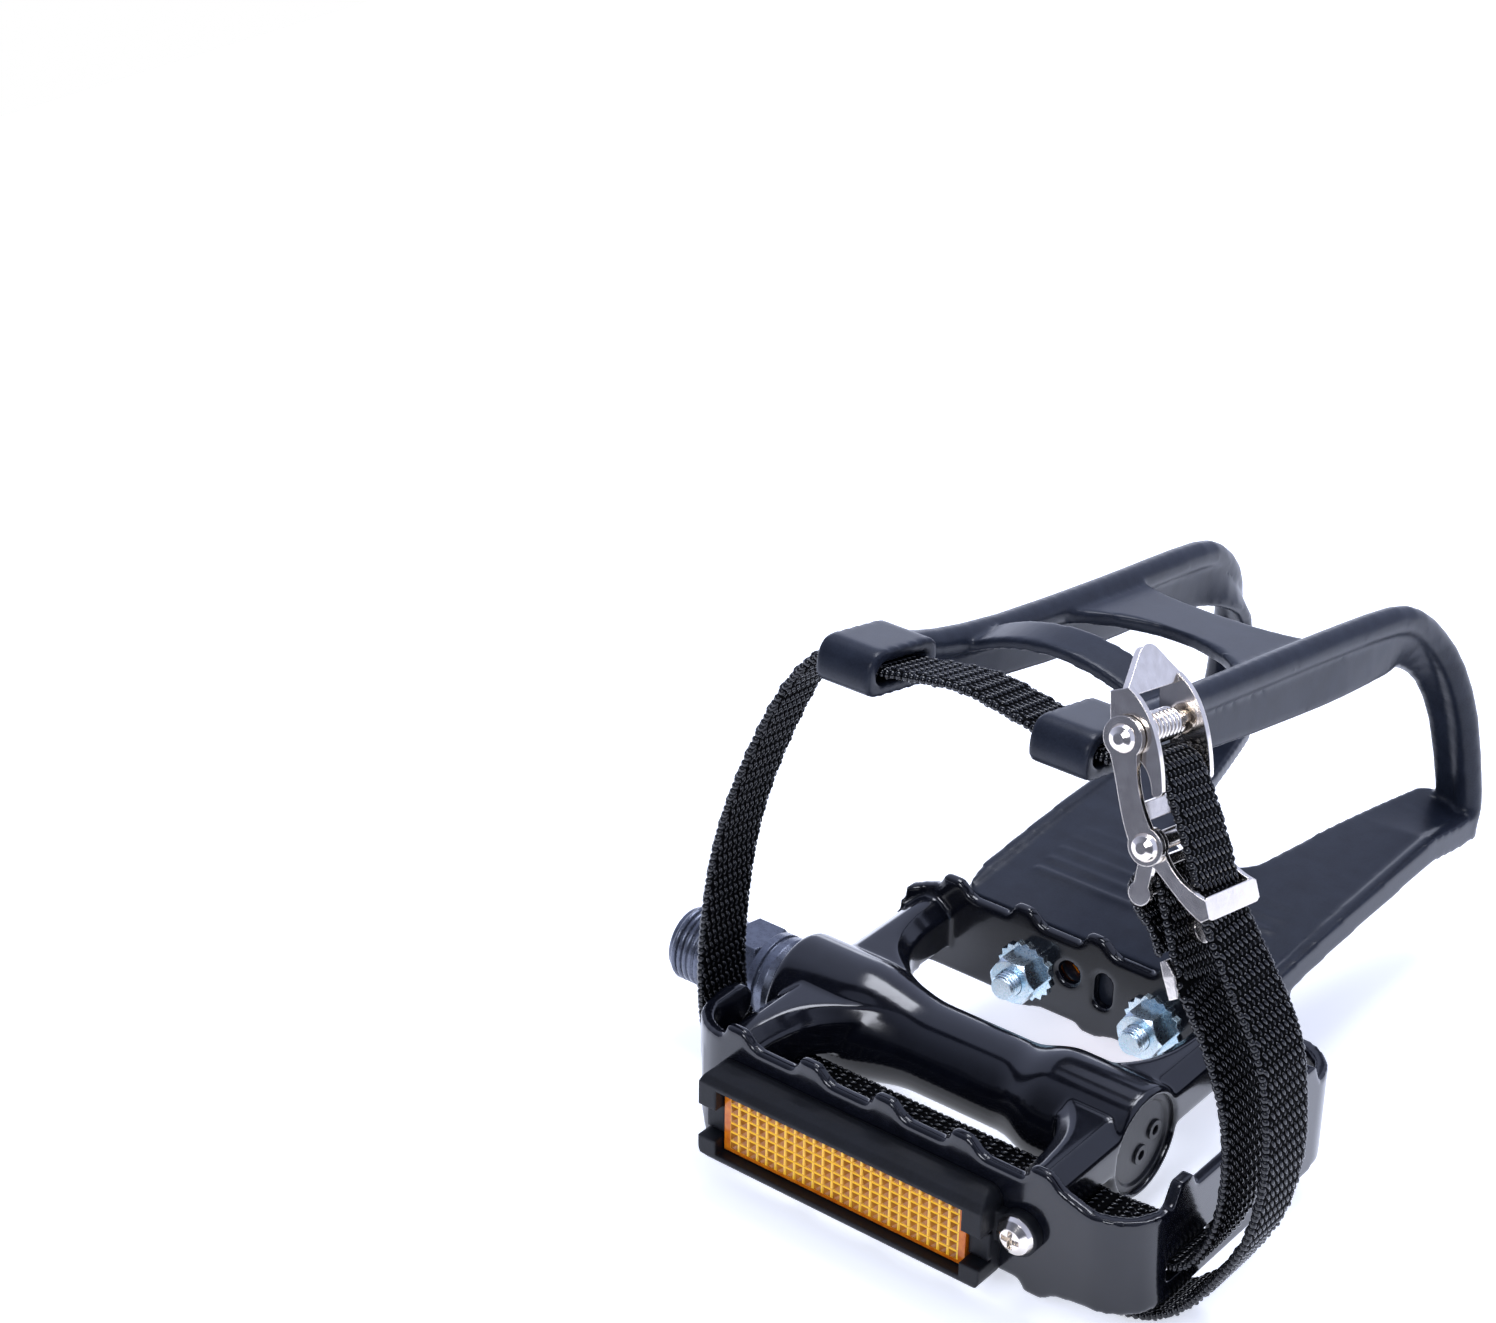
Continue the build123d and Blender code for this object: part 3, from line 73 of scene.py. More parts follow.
# Spindle: a turned steel axle, blackened, with a wrench hexagon and the thread
# that screws into the crank. The thread is cut down to its root, and one wound
# ridge stands on it.
def linear(text):
    """Linear colour of an sRGB hex value."""
    channels = [int(text[i:i + 2], 16) / 255 for i in (0, 2, 4)]
    return [c / 12.92 if c <= 0.04045 else ((c + 0.055) / 1.055) ** 2.4 for c in channels] + [1.0]


def add(tree, kind, **values):
    """A new node: each value is linked if it is an output, else set on its socket or on the node."""
    item = tree.nodes.new(kind)
    for key, value in values.items():
        name = key.replace("_", " ")
        sockets = [s for s in item.inputs if s.name.lower() == name.lower()]
        if hasattr(value, "is_output"):
            tree.links.new(value, sockets[0])
        elif sockets:
            sockets[0].default_value = value
        else:
            setattr(item, key, value)
    return item


def grained(name, low, high, grain_mm, rough, bump_mm=0.02, edge_mm=0.0, **shader):
    """Surface whose colour, shine and relief follow a fine and a broad noise, sized in real millimetres.

    The marks of turning, grinding and plating, and the grain of a mould, are finer than the render can
    show, so their noise is drawn as coarse as it needs to be.
    """
    broad_mm = 14 * grain_mm
    darkest = 0.75
    lightest = 1.25
    shine_spread = 0.05
    smoothest = 0.02
    material = bpy.data.materials.new(name)
    material.use_nodes = True
    tree = material.node_tree
    tree.nodes.clear()
    place = add(tree, "ShaderNodeTexCoord").outputs["Object"]
    fine = add(tree, "ShaderNodeTexNoise", vector=place, scale=1000 / grain_mm, detail=3.0)
    broad = add(tree, "ShaderNodeTexNoise", vector=place, scale=1000 / broad_mm, detail=2.0)
    tone = add(tree, "ShaderNodeMath", operation="ADD")
    tree.links.new(fine.outputs["Fac"], tone.inputs[0])
    tree.links.new(broad.outputs["Fac"], tone.inputs[1])
    ramp = add(tree, "ShaderNodeMapRange", value=tone.outputs[0], from_min=darkest, from_max=lightest)
    color = add(tree, "ShaderNodeMix", data_type="RGBA")
    tree.links.new(ramp.outputs[0], color.inputs[0])
    color.inputs[6].default_value = linear(low)
    color.inputs[7].default_value = linear(high)
    gloss = add(tree, "ShaderNodeMapRange", value=fine.outputs["Fac"])
    gloss.inputs["To Min"].default_value = max(rough - shine_spread, smoothest)
    gloss.inputs["To Max"].default_value = rough + shine_spread
    relief = add(tree, "ShaderNodeBump", height=fine.outputs["Fac"], strength=0.6, distance=bump_mm / 1000)
    if edge_mm:
        soft = add(tree, "ShaderNodeBevel", radius=edge_mm / 1000)
        tree.links.new(soft.outputs[0], relief.inputs["Normal"])
    body = add(tree, "ShaderNodeBsdfPrincipled", base_color=color.outputs[2])
    tree.links.new(gloss.outputs[0], body.inputs["Roughness"])
    tree.links.new(relief.outputs[0], body.inputs["Normal"])
    for key, value in shader.items():
        body.inputs[key.replace("_", " ").title().replace("Ior", "IOR")].default_value = value
    out = add(tree, "ShaderNodeOutputMaterial")
    tree.links.new(body.outputs[0], out.inputs["Surface"])
    return material


def piece(name, mesh, material, body):
    """An object at the origin that shows the mesh in one material and rides on a body, if one is named."""
    mesh.name = name
    mesh.materials.clear()
    mesh.materials.append(material)
    obj = bpy.data.objects.new(name, mesh)
    scene.collection.objects.link(obj)
    if body:
        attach(obj, body)
    return obj


def flattened(obj):
    """The evaluated mesh of obj, which then goes."""
    graph = bpy.context.evaluated_depsgraph_get()
    mesh = bpy.data.meshes.new_from_object(obj.evaluated_get(graph))
    bpy.data.objects.remove(obj)
    return mesh


def grown(tree, values, mesh=None):
    """Plain mesh that a node tree makes from its named inputs."""
    holder = bpy.data.objects.new(tree.name, mesh or bpy.data.meshes.new(tree.name))
    scene.collection.objects.link(holder)
    modifier = holder.modifiers.new(tree.name, "NODES")
    modifier.node_group = tree
    for item in tree.interface.items_tree:
        if item.in_out == "INPUT" and item.name in values:
            modifier[item.identifier] = values[item.name]
    return flattened(holder)


def helix_tree():
    """Wire wound round the Z axis, for threads and the spring."""
    tree = bpy.data.node_groups.new("helix", "GeometryNodeTree")
    face = tree.interface
    for label in ("Radius", "Turns", "Length", "Wire"):
        face.new_socket(label, in_out="INPUT", socket_type="NodeSocketFloat")
    face.new_socket("Sides", in_out="INPUT", socket_type="NodeSocketInt")
    face.new_socket("Finish", in_out="INPUT", socket_type="NodeSocketMaterial")
    face.new_socket("Geometry", in_out="OUTPUT", socket_type="NodeSocketGeometry")
    given = tree.nodes.new("NodeGroupInput").outputs
    coil = add(tree, "GeometryNodeCurveSpiral", resolution=40)
    for label in ("Start Radius", "End Radius"):
        tree.links.new(given["Radius"], coil.inputs[label])
    tree.links.new(given["Turns"], coil.inputs["Rotations"])
    tree.links.new(given["Length"], coil.inputs["Height"])
    ring = add(tree, "GeometryNodeCurvePrimitiveCircle")
    tree.links.new(given["Sides"], ring.inputs["Resolution"])
    tree.links.new(given["Wire"], ring.inputs["Radius"])
    wire = add(tree, "GeometryNodeCurveToMesh", curve=coil.outputs[0], profile_curve=ring.outputs[0])
    wire.inputs["Fill Caps"].default_value = True
    plain = add(tree, "GeometryNodeRealizeInstances", geometry=wire.outputs[0])
    done = add(tree, "GeometryNodeSetMaterial", geometry=plain.outputs[0], material=given["Finish"])
    tree.links.new(done.outputs[0], tree.nodes.new("NodeGroupOutput").inputs[0])
    return tree


helix = helix_tree()


def wound(finish, base, axis, radius, turns, length, wire, sides):
    """Mesh of a helix that starts at base and climbs along axis."""
    values = {"Radius": radius, "Turns": turns, "Length": length}
    values.update({"Wire": wire, "Sides": sides, "Finish": finish})
    mesh = grown(helix, values)
    turn = Vector((0, 0, 1)).rotation_difference(Vector(axis))
    mesh.transform(Matrix.Translation(Vector(base)) @ turn.to_matrix().to_4x4())
    mesh.shade_smooth()
    return mesh


def joined(name, meshes):
    """One mesh of several."""
    form = bmesh.new()
    for mesh in meshes:
        form.from_mesh(mesh)
    mesh = bpy.data.meshes.new(name)
    form.to_mesh(mesh)
    form.free()
    return mesh


THREAD_PITCH = 0.00127
THREAD_LENGTH = 0.0104
THREAD_LEAD = 0.0012
THREAD_END = -0.0002
THREAD_ROOT = 0.0064
RIDGE_RADIUS = 0.0066
RIDGE_WIRE = 0.00056
RIDGE_SIDES = 6
# Blackened steel, turned: a dark metal with a soft shine, whose edges catch the light.
black_steel = grained("black_steel", "585c68", "6a6f7c", 0.9, 0.28, bump_mm=0.006, edge_mm=0.3, Metallic=0.8)
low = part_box("spindle")[0]
core = nodes["spindle"].data.copy()
for corner in core.vertices:
    wide = math.hypot(corner.co.y, corner.co.z)
    if corner.co.x < THREAD_END and wide > RIDGE_RADIUS:
        corner.co.y *= THREAD_ROOT / wide
        corner.co.z *= THREAD_ROOT / wide
start = (low[0] + THREAD_LEAD, 0, 0)
turns = THREAD_LENGTH / THREAD_PITCH
ridge = wound(black_steel, start, (1, 0, 0), RIDGE_RADIUS, turns, THREAD_LENGTH, RIDGE_WIRE, RIDGE_SIDES)
spindle = piece("spindle_steel", joined("spindle_steel", [core, ridge]), black_steel, "spindle")
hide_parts("spindle")


# Bearings: cone, washer, lock nut, cups and balls of hardened steel, packed in
# the barrel between the spindle and the casting.
def dress(name, material):
    """Give one of the part's own meshes its finish."""
    mesh = nodes[name].data
    mesh.materials.clear()
    mesh.materials.append(material)


# Bearing steel, hardened and ground: a bright grey metal with an even shine.
ground_steel = grained("ground_steel", "9a9a98", "b4b4b2", 0.5, 0.25, Metallic=1.0)
for part in ("outer_cone", "lock_washer", "lock_nut", "inner_cup", "inner_balls", "outer_cup", "outer_balls"):
    dress(part, ground_steel)


# Pedal body: barrel, arms and toothed cage in one aluminium die casting, under
# black paint. Its edges and inner corners are rounded as they leave the mould.
def softened(node, voxel_mm, passes):
    """The mesh of a cast or moulded node with its edges and inner corners rounded."""
    holder = bpy.data.objects.new("shape", nodes[node].data.copy())
    scene.collection.objects.link(holder)
    remesh = holder.modifiers.new("remesh", "REMESH")
    remesh.mode = "VOXEL"
    remesh.voxel_size = voxel_mm / 1000
    smooth = holder.modifiers.new("smooth", "SMOOTH")
    smooth.factor = 0.5
    smooth.iterations = passes
    mesh = flattened(holder)
    mesh.shade_smooth()
    return mesh


CASTING_VOXEL_MM = 0.5
CASTING_PASSES = 5
# Gloss enamel, sprayed on: almost black, with sharp reflections that ripple a little
# over the slight waves of the coat, about 2 mm long.
black_paint = grained("black_paint", "08090f", "0d0f17", 2.2, 0.16, bump_mm=0.012, Coat_Weight=0.2)
casting_mesh = softened("pedal_body", CASTING_VOXEL_MM, CASTING_PASSES)
casting = piece("pedal_casting", casting_mesh, black_paint, "pedal")
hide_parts("pedal_body")

# Barrel ends: a rubber ring seals the crank end, and a moulded cap is pressed
# into the outer end.
# Rubber, moulded: dull and dark grey.
seal_rubber = grained("seal_rubber", "131313", "1e1e1e", 0.6, 0.6)
dress("inner_seal", seal_rubber)
# ABS, moulded: black with a satin shine.
cap_resin = grained("cap_resin", "090a0f", "11131b", 0.8, 0.35, edge_mm=0.3)
dress("dust_cap", cap_resin)

# Reflectors: a moulded black housing is screwed to the rear of the cage and holds
# an amber lens, whose grid of small pyramids stands inside a plain border. A
# second amber moulding sits under the front plate.
COLUMNS_ACROSS = 24
ROWS_UP = 6
BORDER = 0.0013
RISE = 0.0007
CORNER_REACH = 0.68
HIGHLIGHT_LINE_SHARE = 0.13
# ABS, moulded with a fine grain: black and dull.
housing_resin = grained("housing_resin", "08090d", "101218", 0.5, 0.5, bump_mm=0.03, edge_mm=0.8,
                        Specular_Ior_Level=0.3)
dress("rear_reflector_housing", housing_resin)
# Acrylic, moulded and polished: clear orange, and a little light passes through it.
amber = grained("amber", "c8600c", "e88418", 1.2, 0.18, edge_mm=0.2, Transmission_Weight=0.15)
dress("rear_reflector_lens", amber)
dress("front_reflector", amber)


def prism_tree():
    """Rows and columns of four-sided points, for the lens."""
    tree = bpy.data.node_groups.new("prisms", "GeometryNodeTree")
    face = tree.interface
    for label, kind in (("Width", "Float"), ("Height", "Float"), ("Columns", "Int"), ("Rows", "Int"),
                        ("Point", "Vector"), ("Finish", "Material")):
        face.new_socket(label, in_out="INPUT", socket_type="NodeSocket" + kind)
    face.new_socket("Geometry", in_out="OUTPUT", socket_type="NodeSocketGeometry")
    given = tree.nodes.new("NodeGroupInput").outputs
    grid = add(tree, "GeometryNodeMeshGrid", size_x=given["Width"], size_y=given["Height"],
               vertices_x=given["Columns"], vertices_y=given["Rows"])
    point = add(tree, "GeometryNodeMeshCone", vertices=4, radius_top=0.0, radius_bottom=1.0, depth=1.0)
    square = add(tree, "GeometryNodeTransform", geometry=point.outputs[0], rotation=(0, 0, math.radians(45)))
    sized = add(tree, "GeometryNodeTransform", geometry=square.outputs[0], scale=given["Point"])
    laid = add(tree, "GeometryNodeInstanceOnPoints", points=grid.outputs[0], instance=sized.outputs[0])
    plain = add(tree, "GeometryNodeRealizeInstances", geometry=laid.outputs[0])
    done = add(tree, "GeometryNodeSetMaterial", geometry=plain.outputs[0], material=given["Finish"])
    tree.links.new(done.outputs[0], tree.nodes.new("NodeGroupOutput").inputs[0])
    return tree


low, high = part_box("rear_reflector_lens")
cell = (high[0] - low[0] - 2 * BORDER) / COLUMNS_ACROSS
tall = (high[2] - low[2] - BORDER) / ROWS_UP
values = {"Width": cell * (COLUMNS_ACROSS - 1), "Height": tall * (ROWS_UP - 1), "Columns": COLUMNS_ACROSS,
          "Rows": ROWS_UP, "Point": (cell * CORNER_REACH, tall * CORNER_REACH, RISE), "Finish": amber}
grid = grown(prism_tree(), values)
middle = ((low[0] + high[0]) / 2, low[1], (low[2] + high[2]) / 2)
grid.transform(Matrix.Translation(middle) @ Matrix.Rotation(math.radians(90), 4, "X"))
# Acrylic points: the facets are painted darker as shade, and a painted highlight, a light line, shows where
# two points meet.
amber_grid = grained("amber_grid", "94560e", "b8741c", 0.8, 0.14, bump_mm=0.004, Specular_Ior_Level=0.7)
tree = amber_grid.node_tree
place = add(tree, "ShaderNodeSeparateXYZ", vector=add(tree, "ShaderNodeTexCoord").outputs["Object"])
# Painted highlight: a light yellow line along each row and each column where two points meet.
highlight_lines = []
for coordinate, start, step in ((0, low[0] + BORDER, cell), (2, middle[2] - tall * ROWS_UP / 2, tall)):
    shifted = add(tree, "ShaderNodeMath", operation="SUBTRACT")
    tree.links.new(place.outputs[coordinate], shifted.inputs[0])
    shifted.inputs[1].default_value = start
    folded = add(tree, "ShaderNodeMath", operation="PINGPONG")
    tree.links.new(shifted.outputs[0], folded.inputs[0])
    folded.inputs[1].default_value = step / 2
    near = add(tree, "ShaderNodeMath", operation="LESS_THAN")
    tree.links.new(folded.outputs[0], near.inputs[0])
    near.inputs[1].default_value = step * HIGHLIGHT_LINE_SHARE
    highlight_lines.append(near.outputs[0])
highlight_line_mask = add(tree, "ShaderNodeMath", operation="MAXIMUM")
tree.links.new(highlight_lines[0], highlight_line_mask.inputs[0])
tree.links.new(highlight_lines[1], highlight_line_mask.inputs[1])
shaded = [item for item in tree.nodes if item.type == "BSDF_PRINCIPLED"][0]
# The painted highlight colour is mixed in along those lines.
highlighted_color = add(tree, "ShaderNodeMix", data_type="RGBA")
tree.links.new(highlight_line_mask.outputs[0], highlighted_color.inputs[0])
tree.links.new(shaded.inputs["Base Color"].links[0].from_socket, highlighted_color.inputs[6])
highlighted_color.inputs[7].default_value = linear("ffcf3a")
tree.links.new(highlighted_color.outputs[2], shaded.inputs["Base Color"])
grid_piece = piece("lens_prisms", grid, amber_grid, "pedal")

# Toe clip: sole, rails, bridges and strap loops in one nylon moulding with soft
# edges, bolted by its flange to the front plate of the cage.
CLIP_VOXEL_MM = 0.55
CLIP_PASSES = 6
# Nylon, moulded: dark, with a satin skin that shows a broad, weak shine.
clip_resin = grained("clip_resin", "181c26", "212631", 0.3, 0.33, bump_mm=0.02, Specular_Ior_Level=0.24)
clip_mesh = softened("toe_clip", CLIP_VOXEL_MM, CLIP_PASSES)
clip = piece("toe_clip_moulding", clip_mesh, clip_resin, "pedal")
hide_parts("toe_clip")

# Clip fasteners: two bolts with nuts and toothed washers, of zinc-plated steel,
# hold the clip to the cage. The free ends of the bolts carry wound threads.
BOLT_RADIUS = 0.0022
BOLT_ROOT = 0.0021
BOLT_PITCH = 0.0008
BOLT_LEAD = 0.0004
BOLT_WIRE = 0.0003
BOLT_SIDES = 5
# Zinc plate, passivated: a bright metal with a cold tint and a half-soft shine.
zinc = grained("zinc", "cfe9f7", "f2fbff", 0.5, 0.28, Metallic=1.0, edge_mm=0.15)
dress("clip_nuts", zinc)
dress("clip_washers", zinc)
low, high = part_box("clip_bolts")
nut_low, nut_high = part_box("clip_nuts")
bolt_z = (nut_low[2] + nut_high[2]) / 2
head_r = (high[2] - low[2]) / 2
bolt_x = (low[0] + head_r, high[0] - head_r)
core = nodes["clip_bolts"].data.copy()
for corner in core.vertices:
    middle = min(bolt_x, key=lambda x: abs(corner.co.x - x))
    away = Vector((corner.co.x - middle, corner.co.z - bolt_z))
    if corner.co.y < nut_high[1] and away.length > BOLT_RADIUS:
        away *= BOLT_ROOT / away.length
        corner.co.x = middle + away.x
        corner.co.z = bolt_z + away.y
free = nut_low[1] - low[1]
turns = free / BOLT_PITCH
shapes = [core]
for x in bolt_x:
    start = (x, low[1] + BOLT_LEAD, bolt_z)
    shapes.append(wound(zinc, start, (0, 1, 0), BOLT_RADIUS, turns, free, BOLT_WIRE, BOLT_SIDES))
bolts = piece("clip_bolts_zinc", joined("clip_bolts_zinc", shapes), zinc, "pedal")
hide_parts("clip_bolts")

# Buckle: frame, lever and keeper of pressed steel on two headed pins, with a
# close-wound wire spring on the upper pin. The strap's rivet and end clip and the
# reflector's screw are plated like it.
SPRING_HALF = 0.0051
SPRING_RADIUS = 0.00215
SPRING_TURNS = 9
SPRING_WIRE = 0.00044
SPRING_SIDES = 8
# Nickel plate on pressed sheet: a warm white mirror, with faint ripples about 2 mm long.
nickel = grained("nickel", "e8e0d6", "f8f1e8", 2.0, 0.15, Metallic=1.0, edge_mm=0.25)
joints = {joint["name"]: joint for joint in frame["joints"]}
for part in ("rear_reflector_screw", "strap_rivet", "strap_end_clip", "buckle_frame", "buckle_upper_pin",
             "buckle_lower_pin", "buckle_lever", "buckle_keeper"):
    dress(part, nickel)
hinge = joints["buckle_lever_hinge"]
axis = Vector(hinge["axis"])
pin = Vector(hinge["pos_m"])
start = pin - axis * SPRING_HALF
wire = wound(nickel, start, axis, SPRING_RADIUS, SPRING_TURNS, 2 * SPRING_HALF, SPRING_WIRE, SPRING_SIDES)
spring = piece("buckle_spring_wire", wire, nickel, "pedal")
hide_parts("buckle_spring")

# Strap: one ribbon of black woven nylon, sewn in a fold round the keeper's bar and
# led under the cage, up through the clip's loops and over the spring. Slanted
# floats lie in rows on both faces of a core painted darker as the shade between them, with a cord along each
# edge.
LOOP_LEAN = math.radians(11.9)
lower = Vector(joints["buckle_keeper_hinge"]["pos_m"])
up_strap = (pin - lower).normalized()
outward = axis.cross(up_strap).normalized()
level = Vector((0, 1, 0))
leaning = Vector((0, math.cos(LOOP_LEAN), -math.sin(LOOP_LEAN)))


def at_buckle(u, n):
    """Point u millimetres down from the upper pin and n outward, in the middle of the buckle."""
    return (pin - up_strap * (u / 1000) + outward * (n / 1000)) * 1000


# Stations of the ribbon's middle line in millimetres, each with the direction of its width.
BAR_U = 23.9
BAR_N = -3.6
FOLD = 2.5
DIAGONAL = FOLD * 0.71
sewn = [
    (at_buckle(BAR_U + 10.0, BAR_N + 0.1), axis),
    (at_buckle(BAR_U + 6.0, BAR_N - 0.4), axis),
    (at_buckle(BAR_U + 2.8, BAR_N - FOLD * 0.8), axis),
    (at_buckle(BAR_U, BAR_N - FOLD), axis),
    (at_buckle(BAR_U - DIAGONAL, BAR_N - DIAGONAL), axis),
    (at_buckle(BAR_U - FOLD, BAR_N), axis),
    (at_buckle(BAR_U - DIAGONAL, BAR_N + DIAGONAL), axis),
    (at_buckle(BAR_U, BAR_N + FOLD), axis),
    (at_buckle(BAR_U + 4.2, BAR_N + FOLD), axis),
    (at_buckle(BAR_U + 8.4, BAR_N + FOLD), axis),
    (at_buckle(BAR_U + 10.9, BAR_N + FOLD), axis),
    (at_buckle(BAR_U + 13.2, BAR_N + FOLD), axis),
    (at_buckle(BAR_U + 15.5, BAR_N + FOLD), axis),
]
inner_strand = [
    (Vector((105.25, -17.1, 45.1)), level),
    (Vector((108.05, -16.9, 40.0)), level),
    (Vector((111.45, -16.5, 30.5)), level),
    (Vector((112.75, -16.1, 19.8)), level),
    (Vector((111.85, -15.8, 8.4)), level),
    (Vector((108.85, -15.6, 0.71)), level),
    (Vector((106.25, -15.6, -2.29)), level),
]
through = [
    (Vector((103.25, -15.6, -3.29)), level),
    (Vector((95.85, -16.1, -3.29)), level),
    (Vector((86.2, -16.8, -3.29)), level),
    (Vector((54.9, -17.3, -3.29)), level),
    (Vector((20.5, -17.3, -3.29)), level),
    (Vector((16.2, -17.3, -3.19)), level),
    (Vector((13.2, -17.3, -2.29)), level),
    (Vector((10.8, -17.3, 1.11)), level),
    (Vector((9.6, -17.3, 5.71)), level),
    (Vector((9.2, -17.1, 18)), level),
    (Vector((10.0, -15.3, 35)), level),
    (Vector((13.0, -13.1, 50)), level),
    (Vector((19.0, -10.8, 66.6)), level),
    (Vector((24.3, -9.9, 74.2)), leaning),
    (Vector((28.3, -9.6, 77.4)), leaning),
    (Vector((31.9, -9.6, 77.6)), leaning),
    (Vector((38.2, -9.6, 77.6)), leaning),
    (Vector((44.7, -9.6, 78.8)), leaning),
    (Vector((54.9, -9.6, 80.2)), leaning),
    (Vector((65.1, -9.6, 78.8)), leaning),
    (Vector((71.6, -9.6, 77.6)), leaning),
    (Vector((79.4, -9.6, 77.7)), leaning),
]
over_pin = [
    (at_buckle(4.2, -3.2), axis),
    (at_buckle(4.1, 0.2), axis),
    (at_buckle(5.3, 2.4), axis),
    (at_buckle(8.0, 3.6), axis),
    (at_buckle(12.6, 4.4), axis),
    (at_buckle(17.6, 4.9), axis),
    (at_buckle(22.5, 5.25), axis),
    (at_buckle(27.5, 5.25), axis),
]
outer_strand = [
    (Vector((109.75, -15.0, 51.4)), level),
    (Vector((114.25, -15.3, 44.8)), level),
    (Vector((117.25, -15.6, 38.2)), level),
    (Vector((119.15, -15.9, 27.0)), level),
    (Vector((119.25, -16.1, 18.0)), level),
    (Vector((117.45, -16.4, 8.0)), level),
    (Vector((112.85, -16.6, -1.5)), level),
    (Vector((107.75, -16.9, -9.0)), level),
    (Vector((101.85, -17.0, -13.6)), level),
    (Vector((94.85, -17.1, -15.4)), level),
]
route = sewn + inner_strand + through + over_pin + outer_strand
route = [(place / 1000, wide) for place, wide in route]
reach = [0.0]
for (p, _), (q, _) in zip(route, route[1:]):
    reach.append(reach[-1] + (q - p).length)
SMALL_STEP = 0.0002


def spot(s):
    """Point of the strap's middle line at length s, on a smooth curve through the route."""
    i = max([k for k in range(len(reach) - 1) if reach[k] <= s] + [0])
    t = (s - reach[i]) / (reach[i + 1] - reach[i])
    a, b, c, d = (route[min(max(i + k, 0), len(route) - 1)][0] for k in (-1, 0, 1, 2))
    place = b * 2 + (c - a) * t + (a * 2 - b * 5 + c * 4 - d) * t * t + (b * 3 - a - c * 3 + d) * t * t * t
    return place * 0.5, route[i][1].lerp(route[i + 1][1], t)


def along(s):
    """Place, run, width and face directions of the strap at length s."""
    s = min(max(s, SMALL_STEP), reach[-1] - SMALL_STEP)
    place, wide = spot(s)
    run = (spot(s + SMALL_STEP)[0] - spot(s - SMALL_STEP)[0]).normalized()
    wide = (wide - run * wide.dot(run)).normalized()
    return place, run, wide, run.cross(wide)


def weave_tree():
    """A bead of yarn, stretched and turned, on each point of a mesh."""
    tree = bpy.data.node_groups.new("weave", "GeometryNodeTree")
    face = tree.interface
    face.new_socket("Geometry", in_out="INPUT", socket_type="NodeSocketGeometry")
    face.new_socket("Float Size", in_out="INPUT", socket_type="NodeSocketVector")
    face.new_socket("Finish", in_out="INPUT", socket_type="NodeSocketMaterial")
    face.new_socket("Geometry", in_out="OUTPUT", socket_type="NodeSocketGeometry")
    given = tree.nodes.new("NodeGroupInput").outputs
    bead = add(tree, "GeometryNodeMeshUVSphere", segments=7, rings=4, radius=1.0)
    shaped = add(tree, "GeometryNodeTransform", geometry=bead.outputs[0], scale=given["Float Size"])
    turn = add(tree, "GeometryNodeInputNamedAttribute", data_type="QUATERNION", name="turn")
    laid = add(tree, "GeometryNodeInstanceOnPoints", points=given["Geometry"], instance=shaped.outputs[0])
    tree.links.new(turn.outputs[0], laid.inputs["Rotation"])
    plain = add(tree, "GeometryNodeRealizeInstances", geometry=laid.outputs[0])
    done = add(tree, "GeometryNodeSetMaterial", geometry=plain.outputs[0], material=given["Finish"])
    tree.links.new(done.outputs[0], tree.nodes.new("NodeGroupOutput").inputs[0])
    return tree


weave = weave_tree()
# Nylon yarn, woven: almost black, and each float has its own small, sharp shine.
webbing = grained("webbing", "020204", "06070b", 0.7, 0.15, bump_mm=0.004, Specular_Ior_Level=0.55)
# The core between the floats: dull black, painted darker than the floats as the shade in the gaps, so that
# the gaps read as depth.
shadowed = grained("webbing_core_painted_shade", "010101", "030304", 0.7, 0.8, bump_mm=0.03, Specular_Ior_Level=0.05)
# The real ribbon has about eleven floats across. Nine are laid, so that each one shows.
WIDE = 0.0125
THICK = 0.0018
ROW = 0.0024
COLUMNS = 9
SLANT = math.radians(28)
SPREAD = 0.95
FLOAT_SIZE = (0.0004, 0.00098, 0.00048)
FLOAT_RISE = 0.32
KNOT_SIZE = (0.00032, 0.00056, 0.00034)
KNOT_RISE = 0.24
CORD_SIZE = (0.0005, 0.00078, 0.0007)
CORD_REACH = 0.465
CORD_RUN = 0.9
CORD_CLIMB = 0.42
HALF_CORE = ((-0.47, -0.2), (-0.44, -0.33), (0.44, -0.33), (0.47, -0.2))
CORE_SHAPE = HALF_CORE + tuple((-u, -v) for u, v in HALF_CORE)


def beads(points, turns, size):
    """Mesh of yarn beads of one size, each with its own turn."""
    mesh = bpy.data.meshes.new("floats")
    mesh.from_pydata(points, [], [])
    turn = mesh.attributes.new("turn", "QUATERNION", "POINT")
    turn.data.foreach_set("value", [v for q in turns for v in q])
    return grown(weave, {"Float Size": size, "Finish": webbing}, mesh)


